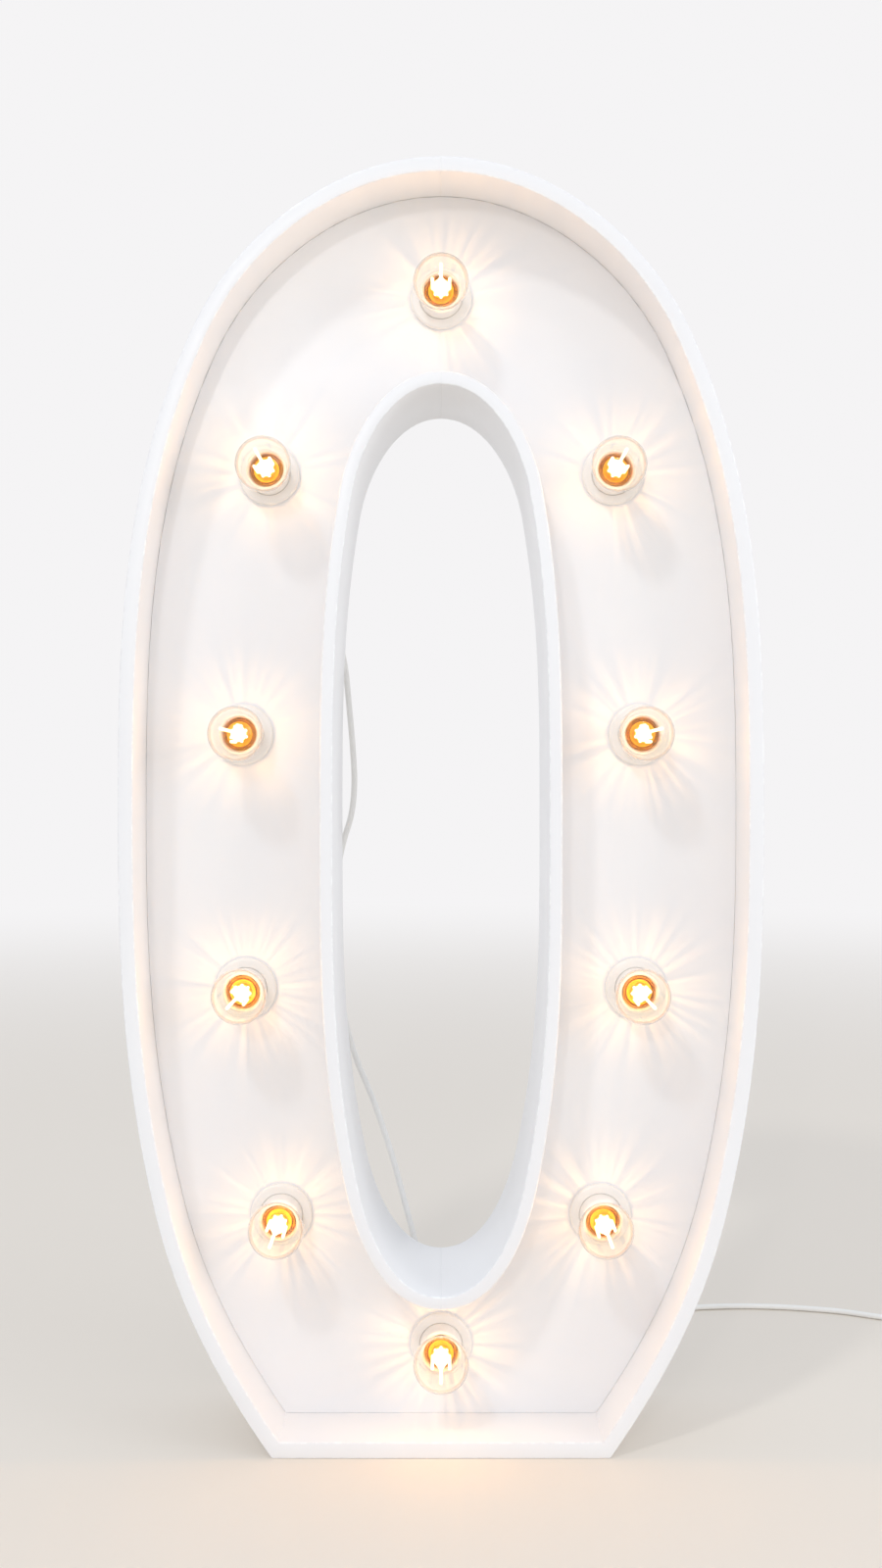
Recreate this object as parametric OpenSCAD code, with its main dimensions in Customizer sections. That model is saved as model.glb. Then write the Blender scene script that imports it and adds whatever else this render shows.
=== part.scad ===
// Free-standing marquee number: a boxed zero with a recessed face panel and ten globe lamps.
// The base stands on Z = 0, X runs to the right as seen from the front, and the front faces -Y.

/* [Outer outline] */
// Overall height of the number
overall_h = 1200; // [1140:5:1260]
// Overall width at the waist
overall_w = 596; // [570:2:630]
// Depth from the front edges to the back edges
overall_d = 160; // [150:1:180]
// Height of the widest point
waist_z = 594; // [560:2:620]
// Drop from the crown to the shoulder of the curve
shoulder_drop = 160; // [150:1:170]
// Width at the shoulders
shoulder_w = 460; // [450:2:470]
// Fall of the curve at the shoulder, in degrees below level
shoulder_fall = 65.5; // [62:0.5:69]
// Height of the hips
hip_z = 220; // [200:1:240]
// Width at the hips
hip_w = 524; // [510:2:540]
// Fall of the curve at the hip, in degrees below level
hip_fall = 104; // [100:0.5:108]
// Width of the flat base
base_w = 312; // [290:2:330]
// Fall of the curve where it meets the base, in degrees below level
base_fall = 125; // [118:0.5:130]

/* [Hole] */
// Width of the stroke over the hole, from the crown to the hole's top
crown_stroke_w = 210; // [195:1:225]
// Height of the hole's lowest point
hole_z = 148.5; // [140:0.5:160]
// Width of the hole at its waist
hole_w = 200; // [180:1:215]
// Height of the hole's waist
hole_waist_z = 572; // [550:1:600]
// Drop from the hole's top to its shoulder
hole_shoulder_drop = 100; // [90:1:110]
// Width of the hole at its shoulder
hole_shoulder_w = 164; // [150:1:172]
// Fall of the hole's curve at its shoulder, in degrees below level
hole_shoulder_fall = 80; // [77:0.5:83]
// Rise from the hole's lowest point to its hip
hole_hip_rise = 101.5; // [92:0.5:110]
// Width of the hole at its hip
hole_hip_w = 153; // [140:1:162]
// Fall of the hole's curve at its hip, in degrees below level
hole_hip_fall = 102; // [99:0.5:105]

/* [Boards] */
// Thickness of the outer side walls
wall_t = 14; // [10:0.5:18]
// Thickness of the wall round the hole
hole_wall_t = 12; // [8:0.5:16]
// Thickness of the base board
base_t = 15; // [10:0.5:20]
// Thickness of the face panel
panel_t = 12; // [8:0.5:16]
// Depth of the face panel behind the front edges
panel_recess = 70; // [60:1:78]
// Clearance of a glued board edge
glue_gap = 0.2; // [0.1:0.05:0.5]
// Side of a square glue block behind the panel
block_side = 22; // [16:1:26]
// Length of a glue block along its wall
block_l = 60; // [40:2:70]
// Rise of the top glue blocks over the shoulder lamps
block_rise = 102; // [90:1:110]

/* [Lamps] */
// Drop from the crown to the shoulder lamps
shoulder_lamp_drop = 282; // [270:1:295]
// Drop from the crown to the upper pair of lamps
upper_lamp_drop = 532; // [510:1:550]
// Height of the lower pair of lamps
lower_lamp_z = 424; // [400:1:445]
// Height of the foot pair of lamps
foot_lamp_z = 207; // [195:1:220]
// Offset of the lamps from the middle of the stroke, towards the hole
lamp_shift = 7; // [0:0.5:12]

/* [Lampholder] */
// Radius of the barrel that goes through the panel
barrel_r = 20.4; // [19:0.1:22]
// Reach of the barrel's rim in front of the panel
barrel_reach = 26; // [22:0.5:30]
// Draft of the barrel's radius up to its rim
barrel_draft = 0.4; // [0:0.1:0.6]
// Clearance between the barrel's bore and the screw shell
bore_gap = 1; // [0.5:0.1:1.5]
// Radius of the barrel's flange behind the panel
flange_r = 25; // [24:0.5:28]
// Thickness of that flange
flange_t = 4; // [3:0.5:6]
// Radius of the shade ring in front of the panel
ring_r = 29.3; // [26:0.1:32]
// Thickness of the shade ring
ring_t = 6; // [4:0.5:8]
// Rounding of the shade ring's edge
ring_edge = 2.5; // [1:0.1:3]
// Radial clearance of the parts on and in the barrel
holder_gap = 0.2; // [0.1:0.05:0.4]
// Depth of the insulating core below the panel's front
core_drop = 3; // [2:0.5:5]
// Inner radius of the screw shell
shell_r = 13.9; // [13.7:0.05:14.2]
// Wall of the screw shell
shell_wall = 0.7; // [0.4:0.1:1]
// Length of the screw shell
shell_l = 22; // [18:0.5:24]
// Radius of the centre contact
contact_r = 4; // [3:0.5:5]
// Height of the centre contact on the core
contact_h = 2; // [1:0.5:2.5]
// Length of the rear cap
cap_l = 32; // [28:1:40]
// Radius of the rear cap at its seat
cap_r = 23.5; // [22.5:0.1:24]
// Radius of the rear cap at its end
cap_end_r = 16; // [14:0.5:19]
// Wall of the rear cap
cap_wall = 2.2; // [1.6:0.1:3]

/* [Bulb] */
// Radius of the glass globe
globe_r = 26; // [24:0.5:28]
// Reach of the globe's centre in front of the panel
globe_reach = 60; // [56:0.5:64]
// Wall of the glass
glass_t = 0.9; // [0.6:0.1:1.5]
// Radius of the bulb's collar, where the glass begins
collar_r = 15; // [14:0.1:16]
// Reach of the collar's top in front of the panel
collar_reach = 28.5; // [27:0.5:32]
// Thickness of the collar
collar_t = 2.5; // [1.5:0.5:3]
// Radius of the screw cap
screw_r = 13.3; // [13:0.05:13.5]
// Clearance between the bulb's tip and the centre contact
tip_gap = 0.3; // [0.2:0.05:0.6]
// Height of the bulb's insulated end, with its tip
bulb_end_l = 5; // [4:0.5:7]
// Pairs of filaments in one bulb, each an upright one and one that leans to the stem's head
filament_pairs = 4; // [3:1:6]
// Radius of one filament
filament_r = 0.8; // [0.6:0.1:1.2]
// Radius of the ring of filament feet
filament_ring_r = 8; // [6.5:0.5:10]
// Height of the upright filaments' tips over the collar
filament_rise = 42; // [38:0.5:46]
// Height of the crown that holds the filaments' feet, over the collar
crown_rise = 5; // [4:0.5:8]
// Height of the glass stem's head over the collar
stem_h = 36; // [32:0.5:38]

/* [Wiring] */
// Diameter of the loom cable between the lampholders
loom_d = 6.2; // [5:0.1:7]
// Depth of the loom behind the lampholder flanges
loom_depth = 14; // [12:0.5:16]
// Radial clearance of a cable in its entry or clip
cable_gap = 0.25; // [0.15:0.05:0.5]
// Wall of a cable entry or clip
entry_wall = 2; // [1.5:0.1:3]
// Reach of a lampholder's cable entry from the lamp's axis
entry_reach = 27; // [25:0.5:30]
// Length of cable inside such an entry
entry_hold_l = 10; // [6:0.5:12]
// Length of a cable clip along the cable
clip_l = 9; // [6:0.5:14]
// Sideways place of the terminal rose, to the left of the middle
rose_x = 142; // [136:1:156]
// Drop from the shoulder lamps to the terminal rose
rose_drop = 88; // [78:1:103]
// Radius of the terminal rose
rose_r = 32; // [28:0.5:34]
// Thickness of the rose's base
rose_base_t = 5; // [3:0.5:8]
// Height of the rose's cover
rose_cover_h = 29; // [26:0.5:32]
// Radius of the rose's cover at its top
rose_top_r = 27; // [22:0.5:30]
// Wall of the rose's cover
rose_wall = 2.2; // [1.6:0.1:3]
// Length of the tapered cord grip
grip_l = 28; // [24:1:30]
// Radius of the cord grip at its foot
grip_r = 9; // [7:0.5:11]
// Ribs on the cord grip
grip_rib_n = 5; // [3:1:7]
// Depth of the grooves between those ribs
grip_groove = 0.8; // [0.4:0.1:1]

/* [Mains cord] */
// Diameter of the mains cord
cord_d = 6; // [5:0.1:6.2]
// Turns in the coil
coil_turns = 6.5; // [4.5:1:6.5]
// Radius of the coil's innermost turn
coil_r = 24.5; // [24:0.5:26]
// Distance from turn to turn and from layer to layer
coil_step = 6.5; // [6.4:0.1:7]
// Thickness of the tie round the coil
tie_t = 0.9; // [0.6:0.1:1]
// Width of the tie
tie_w = 10; // [6:0.5:14]
// Clearance of the tie round the coil
tie_gap = 0.9; // [0.7:0.1:1.2]

/* [Plug] */
// Width of the flat plug
plug_w = 35.3; // [34:0.1:38]
// Thickness of the flat plug
plug_t = 13.7; // [13:0.1:14]
// Length of the plug's even front part
plug_front_l = 12; // [8:0.5:16]
// Length of the plug's tapered rear part
plug_taper_l = 24; // [18:0.5:26]
// Radius of the plug's rear end
plug_rear_r = 4.5; // [3.5:0.1:6]
// Radius of a pin
pin_r = 2; // [1.8:0.05:2.4]
// Length of a pin
pin_l = 19; // [15:0.5:20]
// Distance between the pins
pin_pitch = 18.6; // [17:0.1:19.5]

/* [Hidden] */
$fn = 64;

// Depth planes, from front to back
front_y = -overall_d / 2;
back_y = overall_d / 2;
panel_y = front_y + panel_recess;
panel_back_y = panel_y + panel_t;
loom_y = panel_back_y + flange_t + loom_depth;

// Stations of each right-hand curve from top to bottom: place across, height and fall
roundness = 0.35;
curve_steps = 12;
hole_top_z = overall_h - crown_stroke_w;
OUTER = [
  [0, overall_h, 0],
  [shoulder_w / 2, overall_h - shoulder_drop, shoulder_fall],
  [overall_w / 2, waist_z, 90],
  [hip_w / 2, hip_z, hip_fall],
  [base_w / 2, 0, base_fall]
];
HOLE = [
  [0, hole_top_z, 0],
  [hole_shoulder_w / 2, hole_top_z - hole_shoulder_drop, hole_shoulder_fall],
  [hole_w / 2, hole_waist_z, 90],
  [hole_hip_w / 2, hole_z + hole_hip_rise, hole_hip_fall],
  [0, hole_z, 180]
];

// A curve between two stations is a cubic whose handles follow the falls
function flat(p) = [p.x, p.y];
function heading(fall) = [cos(fall), -sin(fall)];
function handles(a, b) =
  let (reach = roundness * norm(flat(b) - flat(a)))
  [flat(a), flat(a) + reach * heading(a.z), flat(b) - reach * heading(b.z), flat(b)];
function along(k, t) =
  pow(1 - t, 3) * k[0] + 3 * pow(1 - t, 2) * t * k[1] + 3 * (1 - t) * t * t * k[2] + pow(t, 3) * k[3];
function pull(k, t) =
  pow(1 - t, 2) * (k[1] - k[0]) + 2 * (1 - t) * t * (k[2] - k[1]) + t * t * (k[3] - k[2]);
function inset_point(k, t, inset) =
  let (d = pull(k, t), u = d / norm(d)) along(k, t) + inset * [u.y, -u.x];
function half_curve(stations, inset) =
  let (last = len(stations) - 2)
  concat(
    [for (i = [0:last], j = [0:curve_steps - 1])
      inset_point(handles(stations[i], stations[i + 1]), j / curve_steps, inset)],
    [inset_point(handles(stations[last], stations[last + 1]), 1, inset)]
  );
function both_sides(right) =
  concat(right, [for (i = [len(right) - 1:-1:1]) if (right[i].x > 0.001) [-right[i].x, right[i].y]]);
function across(line, z) = lookup(z, [for (p = line) [p.y, p.x]]);

// Lamp axes, clockwise from the top, set in the middle of the stroke and shifted to the hole
wall_line = half_curve(OUTER, wall_t);
hole_line = half_curve(HOLE, -hole_wall_t);
base_inner_x = across(wall_line, base_t);
function stroke_x(z) = (across(wall_line, z) + across(hole_line, z)) / 2 - lamp_shift;
shoulder_lamp_z = overall_h - shoulder_lamp_drop;
upper_lamp_z = overall_h - upper_lamp_drop;
top_lamp_z = (overall_h - wall_t + hole_top_z + hole_wall_t) / 2 - lamp_shift;
bottom_lamp_z = (base_t + hole_z - hole_wall_t) / 2 + lamp_shift;
pair_z = [shoulder_lamp_z, upper_lamp_z, lower_lamp_z, foot_lamp_z];
LAMP_NAMES = [
  "top", "shoulder_right", "upper_right", "lower_right", "foot_right",
  "bottom", "foot_left", "lower_left", "upper_left", "shoulder_left"
];
LAMPS = concat(
  [[0, top_lamp_z]],
  [for (z = pair_z) [stroke_x(z), z]],
  [[0, bottom_lamp_z]],
  [for (i = [3:-1:0]) [-stroke_x(pair_z[i]), pair_z[i]]]
);
lamp_count = len(LAMPS);

// The loom goes from the bottom lamp up the right, over the top, to the rose and down the left
rose_at = [-rose_x, shoulder_lamp_z - rose_drop];
LOOM = concat([for (i = [5:-1:0]) LAMPS[i]], [LAMPS[9], rose_at], [for (i = [8:-1:6]) LAMPS[i]]);
rose_stop = 7;
cable_end_r = entry_reach - entry_hold_l;
entry_r = loom_d / 2 + cable_gap;

// Glue blocks stand half way between the pairs of lamps, and clear of the rose
pair_mid_z = [for (i = [0:2]) (pair_z[i] + pair_z[i + 1]) / 2];
wall_block_z = concat([shoulder_lamp_z + block_rise], pair_mid_z);
hole_block_z = [upper_lamp_z, pair_mid_z[1], pair_mid_z[2]];

// Lampholder levels, from the panel's front towards the viewer
holder_back = -panel_t - flange_t;
barrel_bore_r = shell_r + shell_wall + bore_gap;
tip_level = contact_h - core_drop + tip_gap;

// Route of the mains cord, from the grip down to the floor and along it to the coil
CORD_DRAWN = [
  [-142, 64, 830], [-142, 72, 830], [-141.5, 84, 827], [-139, 94, 818], [-134, 99, 805],
  [-125, 101, 790], [-112, 100, 775], [-103, 99, 758], [-98, 98, 735], [-94, 98, 695],
  [-90.5, 98, 655], [-89, 98, 619], [-92, 98, 588], [-100, 98, 560], [-107, 98, 525],
  [-110, 98, 480], [-107, 98, 430], [-100, 98, 385], [-88, 98, 340], [-68, 99, 290],
  [-50, 100, 236], [-35, 102, 180], [-20, 107, 125], [0, 120, 75], [24, 145, 32],
  [52, 180, 12], [88, 220, 4.6], [140, 265, 3.2], [215, 313, 3.1], [302, 338, 3.1],
  [380, 341, 3.1], [456, 326, 3.1], [507, 303, 3.1], [540, 290, 3.5], [570, 284, 4.2], [589, 284, 4.2]
];
cord_r = cord_d / 2;
cord_exit = [rose_at.x, panel_back_y + rose_base_t + rose_cover_h + grip_l, rose_at.y];
// The higher a point lies over the floor, the more it goes with the grip
function carried(p) =
  p + (cord_exit - CORD_DRAWN[0]) * max(0, p.z - cord_r) / (CORD_DRAWN[0].z - cord_r);
CORD = [for (p = CORD_DRAWN) carried(p)];
cord_steps = 2;
cord_sides = 8;
coil_sides = 6;
loop_steps = 24;

// The coil spirals in on the floor, climbs while it reverses, and spirals out on top
coil_start = CORD[len(CORD) - 1];
coil_out_r = coil_r + coil_step * coil_turns / 2;
coil_mid = [coil_start.x + cord_d, coil_start.y - coil_out_r];
function coil_climb(s) = max(0, min(1, 2 * (s - coil_turns / 2) + 0.5));
function coil_point(s) =
  let (a = 90 - 360 * s, r = coil_r + coil_step * abs(s - coil_turns / 2))
  [coil_mid.x + r * cos(a), coil_mid.y + r * sin(a), coil_start.z + coil_step * coil_climb(s)];
coil_loops = [for (i = [0:coil_turns * loop_steps]) coil_point(i / loop_steps)];
coil_last = coil_loops[len(coil_loops) - 1];
coil_end = coil_last - [cord_d, 0, 0];
COIL = concat([coil_start], coil_loops, [coil_end]);
coil_gaps = [
  for (i = [0:len(coil_loops) - 1], j = [i + loop_steps / 2:len(coil_loops) - 1])
    norm(coil_loops[i] - coil_loops[j])
];
coil_gap = min(coil_gaps) - cord_d;

// The tail drops from the coil's top layer to the plug, whose pins point to the left
plug_z = plug_t / 2;
tail_l = 34;
plug_rear = [coil_end.x - tail_l, coil_end.y, plug_z];
tail_drop = coil_end.z - plug_z;
TAIL = [for (t = [0, 0.15, 0.35, 0.5, 0.65, 0.85, 1])
  [coil_end.x - tail_l * t, coil_end.y, coil_end.z - tail_drop * t * t * (3 - 2 * t)]];
plug_l = plug_front_l + plug_taper_l;

// A smooth curve through given points
function bend(p, i, t) =
  let (a = p[max(i - 1, 0)], b = p[i], c = p[i + 1], d = p[min(i + 2, len(p) - 1)])
  0.5 * (2 * b + (c - a) * t + (2 * a - 5 * b + 4 * c - d) * t * t + (3 * b - a - 3 * c + d) * pow(t, 3));
function smooth_route(p, n) =
  concat([for (i = [0:len(p) - 2], j = [0:n - 1]) bend(p, i, j / n)], [p[len(p) - 1]]);
function route_length(p, i = 0) = i > len(p) - 2 ? 0 : norm(p[i + 1] - p[i]) + route_length(p, i + 1);
function unit(v) = v / norm(v);
function travel(p, i) = unit(p[min(i + 1, len(p) - 1)] - p[max(i - 1, 0)]);
function square_to(n, t) = unit(n - (n * t) * t);
function sides_of(p, first) = [
  for (i = 0, n = square_to(first, travel(p, 0)); i < len(p);
    i = i + 1, n = i < len(p) ? square_to(n, travel(p, i)) : n) n
];

cord_route = smooth_route(CORD, cord_steps);
echo(coil_gap = coil_gap);
echo(cord_lengths = [route_length(cord_route), route_length(COIL), route_length(TAIL)]);

// Flat drawings of the number, with X across and Y up
module outline(inset) polygon(both_sides(half_curve(OUTER, inset)));
module hole(inset) polygon(both_sides(half_curve(HOLE, inset)));
module half_plane(side) translate([side < 0 ? -overall_w : 0, 0]) square([overall_w, overall_h]);
module tray(inset) {
  intersection() {
    outline(wall_t + inset);
    translate([-overall_w, base_t + inset]) square([2 * overall_w, overall_h]);
  }
}
module base_section() {
  polygon([[-base_w / 2, 0], [base_w / 2, 0], [base_inner_x, base_t], [-base_inner_x, base_t]]);
}

// Stands a flat drawing up, with its back at the given depth and its front towards the viewer
module stood(rear_y, d) translate([0, rear_y, 0]) rotate([90, 0, 0]) linear_extrude(d) children();
// Puts a revolved piece on a lamp's axis, with its Z towards the viewer
module on_lamp(i) translate([LAMPS[i].x, panel_y, LAMPS[i].y]) rotate([90, 0, 0]) children();
// Puts a piece on the rose's axis, with its Z to the rear
module on_rose() translate([rose_at.x, panel_back_y, rose_at.y]) rotate([-90, 0, 0]) children();
// Turns Z from one stop of the loom to another
module toward(a, b) translate([a.x, loom_y, a.y]) rotate([0, atan2(b.x - a.x, b.y - a.y), 0]) children();
module loom_entries(stop, r, reach) {
  if (stop > 0) toward(LOOM[stop], LOOM[stop - 1]) cylinder(r = r, h = reach);
  if (stop < len(LOOM) - 1) toward(LOOM[stop], LOOM[stop + 1]) cylinder(r = r, h = reach);
}
// A round tube along points, closed at both ends
module tube(points, r, sides, first) {
  normals = sides_of(points, first);
  rings = [for (i = [0:len(points) - 1], j = [0:sides - 1])
    points[i] + r * (cos(360 * j / sides) * normals[i]
      + sin(360 * j / sides) * cross(travel(points, i), normals[i]))];
  last = (len(points) - 1) * sides;
  walls = [for (i = [0:len(points) - 2], j = [0:sides - 1])
    let (a = i * sides + j, b = i * sides + (j + 1) % sides)
    each [[a, a + sides, b], [b, a + sides, b + sides]]];
  ends = [for (j = [1:sides - 2]) each [[0, j, j + 1], [last, last + j + 1, last + j]]];
  polyhedron(rings, concat(walls, ends));
}

module side_wall(side) {
  color("white") stood(back_y, overall_d) intersection() {
    difference() {
      outline(0);
      tray(0);
      base_section();
    }
    half_plane(side);
  }
}

module base_board() {
  color("white") stood(back_y, overall_d) base_section();
}

module counter_wall(side) {
  color("white") stood(back_y, overall_d) intersection() {
    difference() {
      hole(-hole_wall_t);
      hole(0);
    }
    half_plane(side);
  }
}

module face_panel() {
  color("whitesmoke") stood(panel_back_y, panel_t) difference() {
    tray(glue_gap);
    hole(-hole_wall_t - glue_gap);
    for (p = LAMPS) translate(p) circle(barrel_r + holder_gap);
  }
}

module glue_blocks() {
  module bands(heights) {
    for (z = heights) translate([-overall_w, z - block_l / 2]) square([2 * overall_w, block_l]);
    translate([-block_l / 2, 0]) square([block_l, overall_h]);
  }
  color("burlywood") stood(panel_back_y + block_side, block_side) {
    intersection() {
      difference() {
        tray(glue_gap);
        tray(block_side);
      }
      bands(wall_block_z);
    }
    intersection() {
      difference() {
        hole(-hole_wall_t - block_side);
        hole(-hole_wall_t - glue_gap);
      }
      bands(hole_block_z);
    }
  }
}

module lampholder_barrel() {
  rim_r = (barrel_r - barrel_draft - barrel_bore_r) / 2;
  rim_level = barrel_reach - rim_r;
  rotate_extrude() {
    polygon([
      [barrel_bore_r, holder_back], [flange_r, holder_back], [flange_r, -panel_t],
      [barrel_r, -panel_t], [barrel_r, ring_t], [barrel_r - barrel_draft, rim_level],
      [barrel_bore_r, rim_level]
    ]);
    translate([barrel_bore_r + rim_r, rim_level]) circle(rim_r);
  }
}

module shade_ring() {
  bore = barrel_r + holder_gap;
  rotate_extrude() {
    translate([bore, 0]) square([ring_r - bore, ring_t - ring_edge]);
    translate([bore, 0]) square([ring_r - ring_edge - bore, ring_t]);
    translate([ring_r - ring_edge, ring_t - ring_edge]) circle(ring_edge);
  }
}

module lampholder_rear_cap(stop, lamp) {
  inner_r = cap_r - cap_wall;
  inner_end_r = cap_end_r - cap_wall;
  cap_end = holder_back - cap_l;
  difference() {
    union() {
      on_lamp(lamp) translate([0, 0, cap_end]) cylinder(r1 = cap_end_r, r2 = cap_r, h = cap_l);
      loom_entries(stop, entry_r + entry_wall, entry_reach);
    }
    on_lamp(lamp) translate([0, 0, cap_end + cap_wall])
      cylinder(r1 = inner_end_r, r2 = inner_r, h = cap_l - cap_wall + 0.01);
    loom_entries(stop, entry_r, entry_reach + entry_wall);
  }
}

module lampholder_barrels() {
  color("white") for (i = [0:lamp_count - 1]) on_lamp(i) lampholder_barrel();
}

module shade_rings() {
  color("white") for (i = [0:lamp_count - 1]) on_lamp(i) shade_ring();
}

module lampholder_cores() {
  color("ivory") for (i = [0:lamp_count - 1]) on_lamp(i) translate([0, 0, holder_back])
    cylinder(r = barrel_bore_r - holder_gap, h = -core_drop - holder_back);
}

module screw_shells() {
  color("goldenrod") for (i = [0:lamp_count - 1]) on_lamp(i) translate([0, 0, -core_drop]) difference() {
    cylinder(r = shell_r + shell_wall, h = shell_l);
    translate([0, 0, -shell_wall]) cylinder(r = shell_r, h = shell_l + 2 * shell_wall);
  }
}

module centre_contacts() {
  color("gold") for (i = [0:lamp_count - 1]) on_lamp(i) translate([0, 0, -core_drop])
    cylinder(r = contact_r, h = contact_h);
}

module lampholder_rear_caps() {
  color("white") for (i = [0:lamp_count - 1]) {
    stop = i == 9 ? 6 : i < 6 ? 5 - i : 16 - i;
    lampholder_rear_cap(stop, i);
  }
}

// A globe of the given radius, whose neck sweeps out of the collar in a hollow curve
module bulb_section(r, neck_r) {
  neck_h = globe_reach - collar_reach;
  sweep_r = (pow(neck_r, 2) + pow(neck_h, 2) - pow(r, 2)) / (2 * (r - neck_r));
  sweep_at = [neck_r + sweep_r, collar_reach];
  touch = [0, globe_reach] + r * unit(sweep_at - [0, globe_reach]);
  intersection() {
    union() {
      translate([0, globe_reach]) circle(r);
      difference() {
        polygon([[0, collar_reach], [touch.x, collar_reach], touch, [0, globe_reach]]);
        translate(sweep_at) circle(sweep_r, $fn = 2 * $fn);
      }
    }
    translate([0, collar_reach]) square([globe_r, globe_reach]);
  }
}

module bulb_glass(i) {
  color("moccasin", 0.4) on_lamp(i) rotate_extrude() difference() {
    bulb_section(globe_r, collar_r);
    bulb_section(globe_r - glass_t, collar_r - glass_t);
  }
}

module bulb_filament(i) {
  foot_r = 9;
  waist_r = 5;
  rod_r = 1.6;
  head_r = 3;
  head_h = 4;
  crown_t = 2;
  crown_edge = 0.6;
  crown_r = filament_ring_r + filament_r + crown_edge;
  seat = crown_rise + crown_t / 2;
  head_mid = stem_h - head_h / 2;
  lean_in = filament_ring_r - head_r / 2;
  lean_rise = head_mid - seat;
  color("orange") on_lamp(i) translate([0, 0, collar_reach]) {
    rotate_extrude() polygon([
      [0, 0], [foot_r, 0], [waist_r, crown_rise / 2], [waist_r, crown_rise], [crown_r, crown_rise],
      [crown_r, crown_rise + crown_t], [rod_r, crown_rise + crown_t], [rod_r, stem_h - head_h],
      [head_r, stem_h - head_h], [head_r, stem_h], [0, stem_h]
    ]);
    for (k = [0:filament_pairs - 1]) rotate([0, 0, 360 * k / filament_pairs]) {
      translate([filament_ring_r, 0, seat]) cylinder(r = filament_r, h = filament_rise - seat, $fn = 16);
      rotate([0, 0, 180 / filament_pairs]) translate([filament_ring_r, 0, seat])
        rotate([0, -atan2(lean_in, lean_rise), 0])
          cylinder(r = filament_r, h = norm([lean_in, lean_rise]), $fn = 16);
    }
  }
}

module bulb_cap(i) {
  tip_r = 4.5;
  tip_h = 1.5;
  waist_r = 10;
  collar_foot = collar_reach - collar_t;
  color("darkgoldenrod") on_lamp(i) rotate_extrude() polygon([
    [0, tip_level], [tip_r, tip_level], [tip_r, tip_level + tip_h], [waist_r, tip_level + tip_h * 2],
    [screw_r, tip_level + bulb_end_l], [screw_r, collar_foot - collar_t], [collar_r, collar_foot],
    [collar_r, collar_reach], [0, collar_reach]
  ]);
}

module loom_cable() {
  color("white") for (i = [0:len(LOOM) - 2]) {
    start_r = i == rose_stop ? rose_top_r - cable_end_r / 2 : cable_end_r;
    stop_r = i + 1 == rose_stop ? rose_top_r - cable_end_r / 2 : cable_end_r;
    toward(LOOM[i], LOOM[i + 1]) translate([0, 0, start_r])
      cylinder(r = loom_d / 2, h = norm(LOOM[i + 1] - LOOM[i]) - start_r - stop_r);
  }
}

module cable_clips() {
  stand = loom_y - panel_back_y;
  clip_r = entry_r + entry_wall;
  color("white") for (i = [0:len(LOOM) - 2]) if (i != rose_stop && i + 1 != rose_stop)
    toward(LOOM[i], LOOM[i + 1]) translate([0, 0, (norm(LOOM[i + 1] - LOOM[i]) - clip_l) / 2]) difference() {
      union() {
        cylinder(r = clip_r, h = clip_l);
        translate([-clip_r, -stand, 0]) cube([2 * clip_r, stand, clip_l]);
      }
      translate([0, 0, -entry_wall]) cylinder(r = entry_r, h = clip_l + 2 * entry_wall);
    }
}

module terminal_rose_base() {
  color("white") on_rose() cylinder(r = rose_r, h = rose_base_t);
}

module terminal_rose_cover() {
  rim_r = rose_r - 1;
  color("white") difference() {
    union() {
      on_rose() translate([0, 0, rose_base_t]) cylinder(r1 = rim_r, r2 = rose_top_r, h = rose_cover_h);
      loom_entries(rose_stop, entry_r + entry_wall, rose_r + entry_wall);
    }
    on_rose() translate([0, 0, rose_base_t - 0.01])
      cylinder(r1 = rim_r - rose_wall, r2 = rose_top_r - rose_wall, h = rose_cover_h - rose_wall);
    loom_entries(rose_stop, entry_r, rose_r + 2 * entry_wall);
  }
}

module terminal_block() {
  block = [26, 11, 10];
  tower_r = 3.6;
  tower_h = 4;
  tower_pitch = 9;
  color("ivory") on_rose() translate([0, 0, rose_base_t]) {
    translate([-block.x / 2, -block.y / 2, 0]) cube(block);
    for (x = [-tower_pitch, 0, tower_pitch]) translate([x, 0, block.z]) cylinder(r = tower_r, h = tower_h);
  }
}

module cord_grip() {
  foot_t = 3;
  rib = (grip_l - foot_t) / (2 * grip_rib_n);
  function taper(z) = grip_r - (grip_r - cord_r - 1.2) * z / (grip_l - foot_t);
  color("white") on_rose() translate([0, 0, rose_base_t + rose_cover_h]) rotate_extrude() polygon(concat(
    [[0, 0], [grip_r + 2, 0], [grip_r + 2, foot_t]],
    [for (i = [0:grip_rib_n - 1], step = [[0, 0], [1, 0], [1, 1], [2, 1]])
      let (z = (2 * i + step[0]) * rib) [taper(z) - step[1] * grip_groove, foot_t + z]],
    [[0, grip_l]]
  ));
}

module mains_cord() {
  color("white") tube(cord_route, cord_r, cord_sides, [0, 0, 1]);
}

module cord_coil() {
  color("white") tube(COIL, cord_r, coil_sides, [0, 0, 1]);
}

module cord_tail() {
  color("white") tube(TAIL, cord_r, cord_sides, [0, 0, 1]);
}

module cord_tie() {
  span = [coil_out_r - coil_r + cord_d + 2 * tie_gap, coil_step + cord_d + tie_gap];
  foot = [coil_r - cord_r - tie_gap, coil_start.z - cord_r - tie_gap / 3];
  color("gray") translate([coil_mid.x, coil_mid.y + tie_w / 2, 0]) rotate([90, 0, 0]) linear_extrude(tie_w)
    difference() {
      translate(foot - [tie_t, tie_t]) square(span + [2 * tie_t, 2 * tie_t]);
      translate(foot) square(span);
    }
}

// The plug lies flat, with its Z along the pins
module on_plug() translate(plug_rear) rotate([0, -90, 0]) children();

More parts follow.
